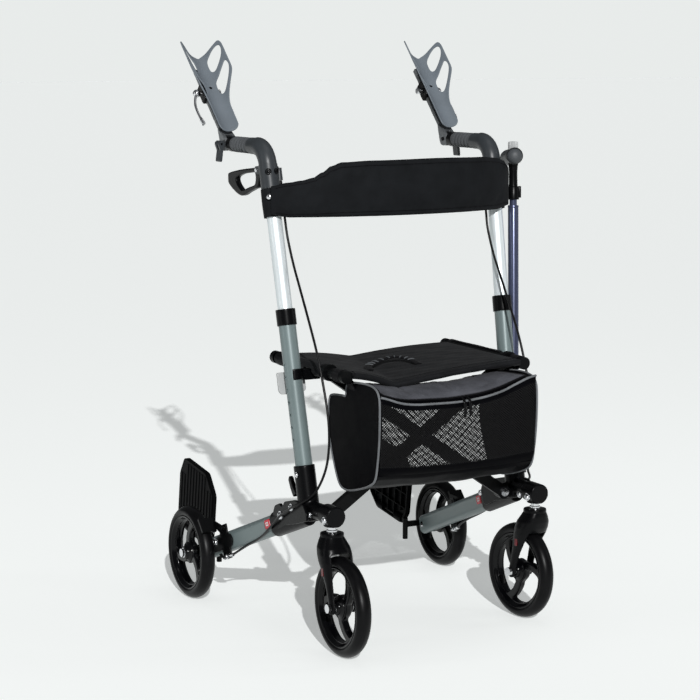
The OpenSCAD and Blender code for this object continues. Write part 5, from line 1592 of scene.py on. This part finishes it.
def make_cane():
    dress(turned("cane_tube", CANE_TUBE, AT_CANE, 40), "cane", "cane_metal", "cane_shaft")
    dress(turned("cane_tip", CANE_TIP, AT_CANE, 36), "cane", "tyre")
    neck = turned("cane_neck", CANE_NECK, AT_CANE_HEAD, 36)
    dress(neck, "cane", "cane_grip", "cane_handle", mat="black_plastic")
    latch = slab("cane_latch", [rounded(CANE_LATCH, 0.002)], AT_LATCH, width=0.006, bevel=0.0015)
    dress(latch, "cane", "cane_grip", mat="black_plastic")
    line = [(0, y, CANE_GRIP_Z + CANE_GRIP_WAVE * math.sin(40 * y)) for y, r in CANE_GRIP]
    grip = tube("cane_grip_piece", line, [r for y, r in CANE_GRIP], 28)
    dress(place(grip, AT_CANE_HEAD), "cane", "cane_grip")
    spot = AT_CANE_HEAD @ move(0, CANE_RING_Y, CANE_GRIP_Z) @ tilt_of("X", 90)
    dress(ring_of("cane_grip_ring", CANE_RING, spot, 36), "cane", "cane_grip", mat="black_plastic")
    rows = []
    for z, share in CANE_CAP:
        row = []
        for k, a in enumerate(angles(40)):
            r = share * (CAP_RIDGE_R if k % 2 else CAP_GROOVE_R)
            row.append(Vector((r * math.cos(a), r * math.sin(a), z)))
        rows.append(row)
    cap = place(loft("cane_cap", rows, around=True, smooth=25), AT_CANE_HEAD)
    dress(cap, "cane", "cane_grip", mat="pale_plastic")


# Casters

# Height, half width, half depth and middle of the fork's outline, from the crown down to the axle
FORK = [
    (0.2395, 0.0200, 0.0200, 0.000), (0.2330, 0.0225, 0.0220, 0.000), (0.2240, 0.0275, 0.0250, 0.002),
    (0.2130, 0.0325, 0.0285, 0.006), (0.2000, 0.0345, 0.0290, 0.011), (0.1860, 0.0345, 0.0265, 0.016),
    (0.1680, 0.0325, 0.0210, 0.0235), (0.1450, 0.0302, 0.0160, 0.032), (0.1200, 0.0292, 0.0132, 0.040),
    (0.1000, 0.0290, 0.0135, 0.045), (0.0900, 0.0288, 0.0100, 0.045), (0.0870, 0.0285, 0.0050, 0.045),
]
# How square the outline is across and along
FORK_SQUARE = (0.72, 0.85)
WHEEL_ROOM = [(0, -0.0208), (0.1045, -0.0208), (0.1045, 0.0208), (0, 0.0208)]
FLANGE = [
    (0.009, 0.2335), (0.0228, 0.2325), (0.0238, 0.2335), (0.024, 0.2375), (0.0232, 0.24), (0.018, 0.2412),
    (0.009, 0.2405),
]
STEM = [(0, 0.236), (0.0112, 0.236), (0.0112, 0.2455), (0.0085, 0.2465), (0.0085, 0.262), (0, 0.262)]
REFLECTOR = [(0.0175, 0.160), (0.0255, 0.160), (0.0245, 0.182), (0.0160, 0.182)]
REFLECTOR_X, REFLECTOR_T = 0.0322, 0.002


def make_fork(side):
    at, body = at_caster(side), "caster_" + side
    rows = []
    for z, wide, deep, middle in FORK:
        row = []
        for a in angles(48):
            x, y = (math.copysign(abs(c) ** p, c) for c, p in zip((math.cos(a), math.sin(a)), FORK_SQUARE))
            row.append(Vector((wide * x, middle + deep * y, z)))
        rows.append(row)
    shell = loft("fork_shell_" + side, rows, around=True)
    cut(shell, turned("room", WHEEL_ROOM, move(*CASTER_AXLE) @ tilt_of("Y", 90), 72))
    soften(shell, voxel=0.0013, rounds=4, keep=0.4)
    dress(place(shell, at), body, "black_plastic", "caster_fork_" + side)
    dress(ring_of("fork_flange_" + side, FLANGE, at, 48), body, "black_plastic")
    dress(turned("fork_stem_" + side, STEM, at, 32), body, "steel")
    for k, end in enumerate((-1, 1)):
        spot = at @ move(end * REFLECTOR_X, 0, 0)
        line = rounded(REFLECTOR, 0.002)
        patch = slab("fork_reflector_%s_%d" % (side, k), [line], spot, width=REFLECTOR_T, bevel=0.0006)
        dress(patch, body, "black_plastic", mat="reflector")


# Frame joints and brackets, in millimetres on the side's own x

CLEVIS = [
    (-54, 244), (-61, 260), (-84, 269), (-91, 264), (-99, 266), (-104, 276), (-150, 288), (-188, 287),
    (-204, 270), (-206, 256), (-156, 240), (-104, 227), (-74, 212), (-64, 217),
]
CLEVIS_X, CLEVIS_T = {"outer": 266.0, "inner": 233.0}, 0.0065
TAB = [(-97, 327), (-93, 318), (-103, 301), (-116, 286), (-130, 296), (-112, 310), (-103, 324)]
TAB_X, TAB_T = 249.5, 0.009
# Room for the caster's flange under the joint's head
HEAD_ROOM = [(0, 0.23), (0.03, 0.23), (0.03, 0.2525), (0, 0.2525)]
# Name, way that the heads face, and place and size of each screw
SCREWS = [
    ("joint_screw", 1, [
        (269.6, -138, 270, 1.0), (269.6, -89, 244, 1.15), (259.3, -199, 267, 0.8), (259.3, -262, 267, 0.9),
        (268.4, -160, 341, 0.7),
    ]),
    ("joint_inner_screw", -1, [
        (229.6, -53, 236, 0.8), (216.6, -228, 266, 0.8), (216.6, -259, 267, 1.0), (263.2, 160, 143, 0.55),
    ]),
    ("bracket_screw", 1, [(293.2, 187, 158, 0.7), (293.2, 177, 136, 0.9)]),
]
SCREW = [
    (0, 0.0024), (0.0022, 0.0024), (0.0026, 0.0044), (0.0046, 0.0042), (0.0062, 0.0028), (0.0066, 0.0006),
    (0.0082, 0.0005), (0.0084, -0.0012), (0, -0.0012),
]
CABLE_STOP, CABLE_INLET = (284, 151, 106), (279, 116, 120)
BARREL = [
    (0, 0), (0.0045, 0), (0.0052, 0.001), (0.0052, 0.006), (0.0035, 0.0065), (0.0035, 0.01),
    (0.0062, 0.0105), (0.0062, 0.0165), (0.004, 0.0175), (0.004, 0.024), (0, 0.024),
]
CABLE_END = [(0, 0.026), (0.0034, 0.026), (0.0042, 0.027), (0.0042, 0.035), (0.0034, 0.037), (0, 0.037)]
CABLE_HOLDER, HOLDER_R, HOLDER_FLAT = [(289, 160, 112), (287, 154, 108), CABLE_STOP], 0.004, 0.6


def make_joint(side):
    body, out = "frame_" + side, SIDES[side]
    casting = copy_of("frame_joint_" + side, "frame_joint_cast_" + side)
    cut(casting, turned("room", HEAD_ROOM, move(out * CASTER_X, CASTER_Y, 0), 40))
    soften(casting, voxel=0.0015, rounds=6, keep=0.4)
    dress(casting, body, "black_plastic", "frame_joint_" + side)
    cheek_line = rounded(in_metres(CLEVIS), 0.005, 3)
    for name, x in CLEVIS_X.items():
        spot = move(out * x * MM, 0, 0)
        cheek = slab("joint_cheek_%s_%s" % (name, side), [cheek_line], spot, width=CLEVIS_T, bevel=0.0016)
        dress(cheek, body, "black_plastic")
    tab_line = rounded(in_metres(TAB), 0.003, 3)
    tab = slab("joint_tab_" + side, [tab_line], move(out * TAB_X * MM, 0, 0), width=TAB_T, bevel=0.002)
    dress(tab, body, "black_plastic")


def make_screws(side):
    for name, way, spots in SCREWS:
        for k, (x, y, z, size) in enumerate(spots):
            at = aimed(side_point(side, x, y, z), (way * SIDES[side], 0, 0))
            head = turned("%s_%s_%d" % (name, side, k), [(r * size, h * size) for r, h in SCREW], at, 20, 40)
            dress(head, "frame_" + side, "steel")


def make_cable_stop(side):
    """The adjuster on the rear bracket where the brake cable ends."""
    body = "frame_" + side
    stop, inlet = side_point(side, *CABLE_STOP), side_point(side, *CABLE_INLET)
    at = aimed(stop, (inlet - stop).normalized())
    dress(turned("cable_barrel_" + side, BARREL, at, 20), body, "steel")
    dress(turned("cable_end_" + side, CABLE_END, at, 20), body, "steel")
    path = [side_point(side, *p) for p in CABLE_HOLDER]
    dress(tube("cable_holder_" + side, path, HOLDER_R, 12, flat=HOLDER_FLAT), body, "black_metal")


# Elbows and uprights

# Name, turn about the tube, height on the upright and size of each eye
ELBOW_EYES = [("outer", 28, 0.592, 1.0), ("inner", -28, 0.592, 1.0), ("front", -75, 0.598, 0.8)]
ELBOW_R = 0.0189
EYE = [(0.0040, -0.002), (0.0066, -0.002), (0.0066, 0.0012), (0.0058, 0.0018), (0.0044, 0.0012)]
KNOB = [(0, 0.0010), (0.0026, 0.0009), (0.0038, 0.0002), (0.0044, -0.002), (0, -0.002)]
GRIP_RING = [
    (0.0146, -0.003), (0.0154, -0.0024), (0.0159, -0.0008),
    (0.0159, 0.0008), (0.0154, 0.0024), (0.0146, 0.003),
]
GRIP_START, GRIP_PITCH, GRIP_RINGS = 0.079, 0.0125, 5
RAIL_REST = [
    (-0.027, 0.152), (-0.022, 0.146), (0.022, 0.143), (0.034, 0.15),
    (0.034, 0.186), (0.024, 0.19), (-0.027, 0.19),
]
RAIL_REST_Y, RAIL_REST_T = 0.0197, 0.0045


def make_elbow_details(side):
    body = "handle_" + side
    for name, turn, height, size in ELBOW_EYES:
        at = sided(side, AT_UPRIGHT) @ tilt_of("Z", turn) @ move(0, -ELBOW_R, height) @ tilt_of("X", 90)
        rim, knob = ([(r * size, h) for r, h in profile] for profile in (EYE, KNOB))
        dress(ring_of("elbow_eye_%s_%s" % (name, side), rim, at, 24), body, "black_plastic")
        dress(turned("elbow_knob_%s_%s" % (name, side), knob, at, 20), body, "black_plastic")
    for k in range(GRIP_RINGS):
        at = sided(side, AT_ELBOW) @ move(0, GRIP_START + GRIP_PITCH * k, 0) @ tilt_of("X", 90)
        dress(ring_of("grip_ring_%d_%s" % (k, side), GRIP_RING, at, 40), body, "grip_rubber")


def make_rail_rest(side):
    """The pale plate behind the upright, below the seat rail."""
    at = sided(side, AT_UPRIGHT) @ move(0, RAIL_REST_Y, 0) @ tilt_of("Z", 90)
    plate = slab("rail_rest_" + side, [rounded(RAIL_REST, 0.004)], at, width=RAIL_REST_T, bevel=0.0008)
    dress(plate, "frame_" + side, "silver_metal", mat="pale_plastic")


def make_side(side):
    make_trough(side)
    make_slide_lever(side)
    make_brake_lever(side)
    make_cable(side)
    make_foot_plate(side)
    make_button(side)
    make_rail_rest(side)
    make_elbow_details(side)


def make_frame_details(side):
    make_joint(side)
    make_screws(side)
    make_cable_stop(side)
    make_fork(side)
    soft_copy("upright_clamps_" + side, "frame_" + side, "black_plastic", 0.0011, 4)
    soft_copy("rear_bracket_" + side, "frame_" + side, "black_metal", 0.0009, 3)
    soft_copy("tilt_clamp_" + side, "handle_" + side, "black_plastic", 0.0008, 3)
    soft_copy("forearm_carrier_" + side, "carrier_" + side, "carrier_metal", 0.0009, 3)
    x, y, z = REAR_WHEEL
    make_wheel("rear", side, move(SIDES[side] * x, y, z))
    make_wheel("caster", side, at_caster(side) @ move(*CASTER_AXLE))


bpy.context.scene.view_settings.view_transform = "Standard"
make_world()
make_floor()
make_lights()
make_camera()
MATS = make_materials()
for entry in frame["record"]["subparts"]:
    ob = NODES[entry["node"]]
    ob.data.materials.clear()
    ob.data.materials.append(MATS[entry["material_slot"]])
    shade(ob, 32)
for side in SIDES:
    NODES["tilt_lever_" + side].data.materials[0] = MATS["charcoal_plastic"]
    make_side(side)
for side in SIDES:
    make_frame_details(side)
make_cane()
make_seat()
make_seat_trim()
make_strap()
make_band()
make_bag()

with open("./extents.json", "w") as f:
    json.dump({"cad": [list(v) for v in cad_box], "visual": [list(v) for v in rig.bounds()]}, f)
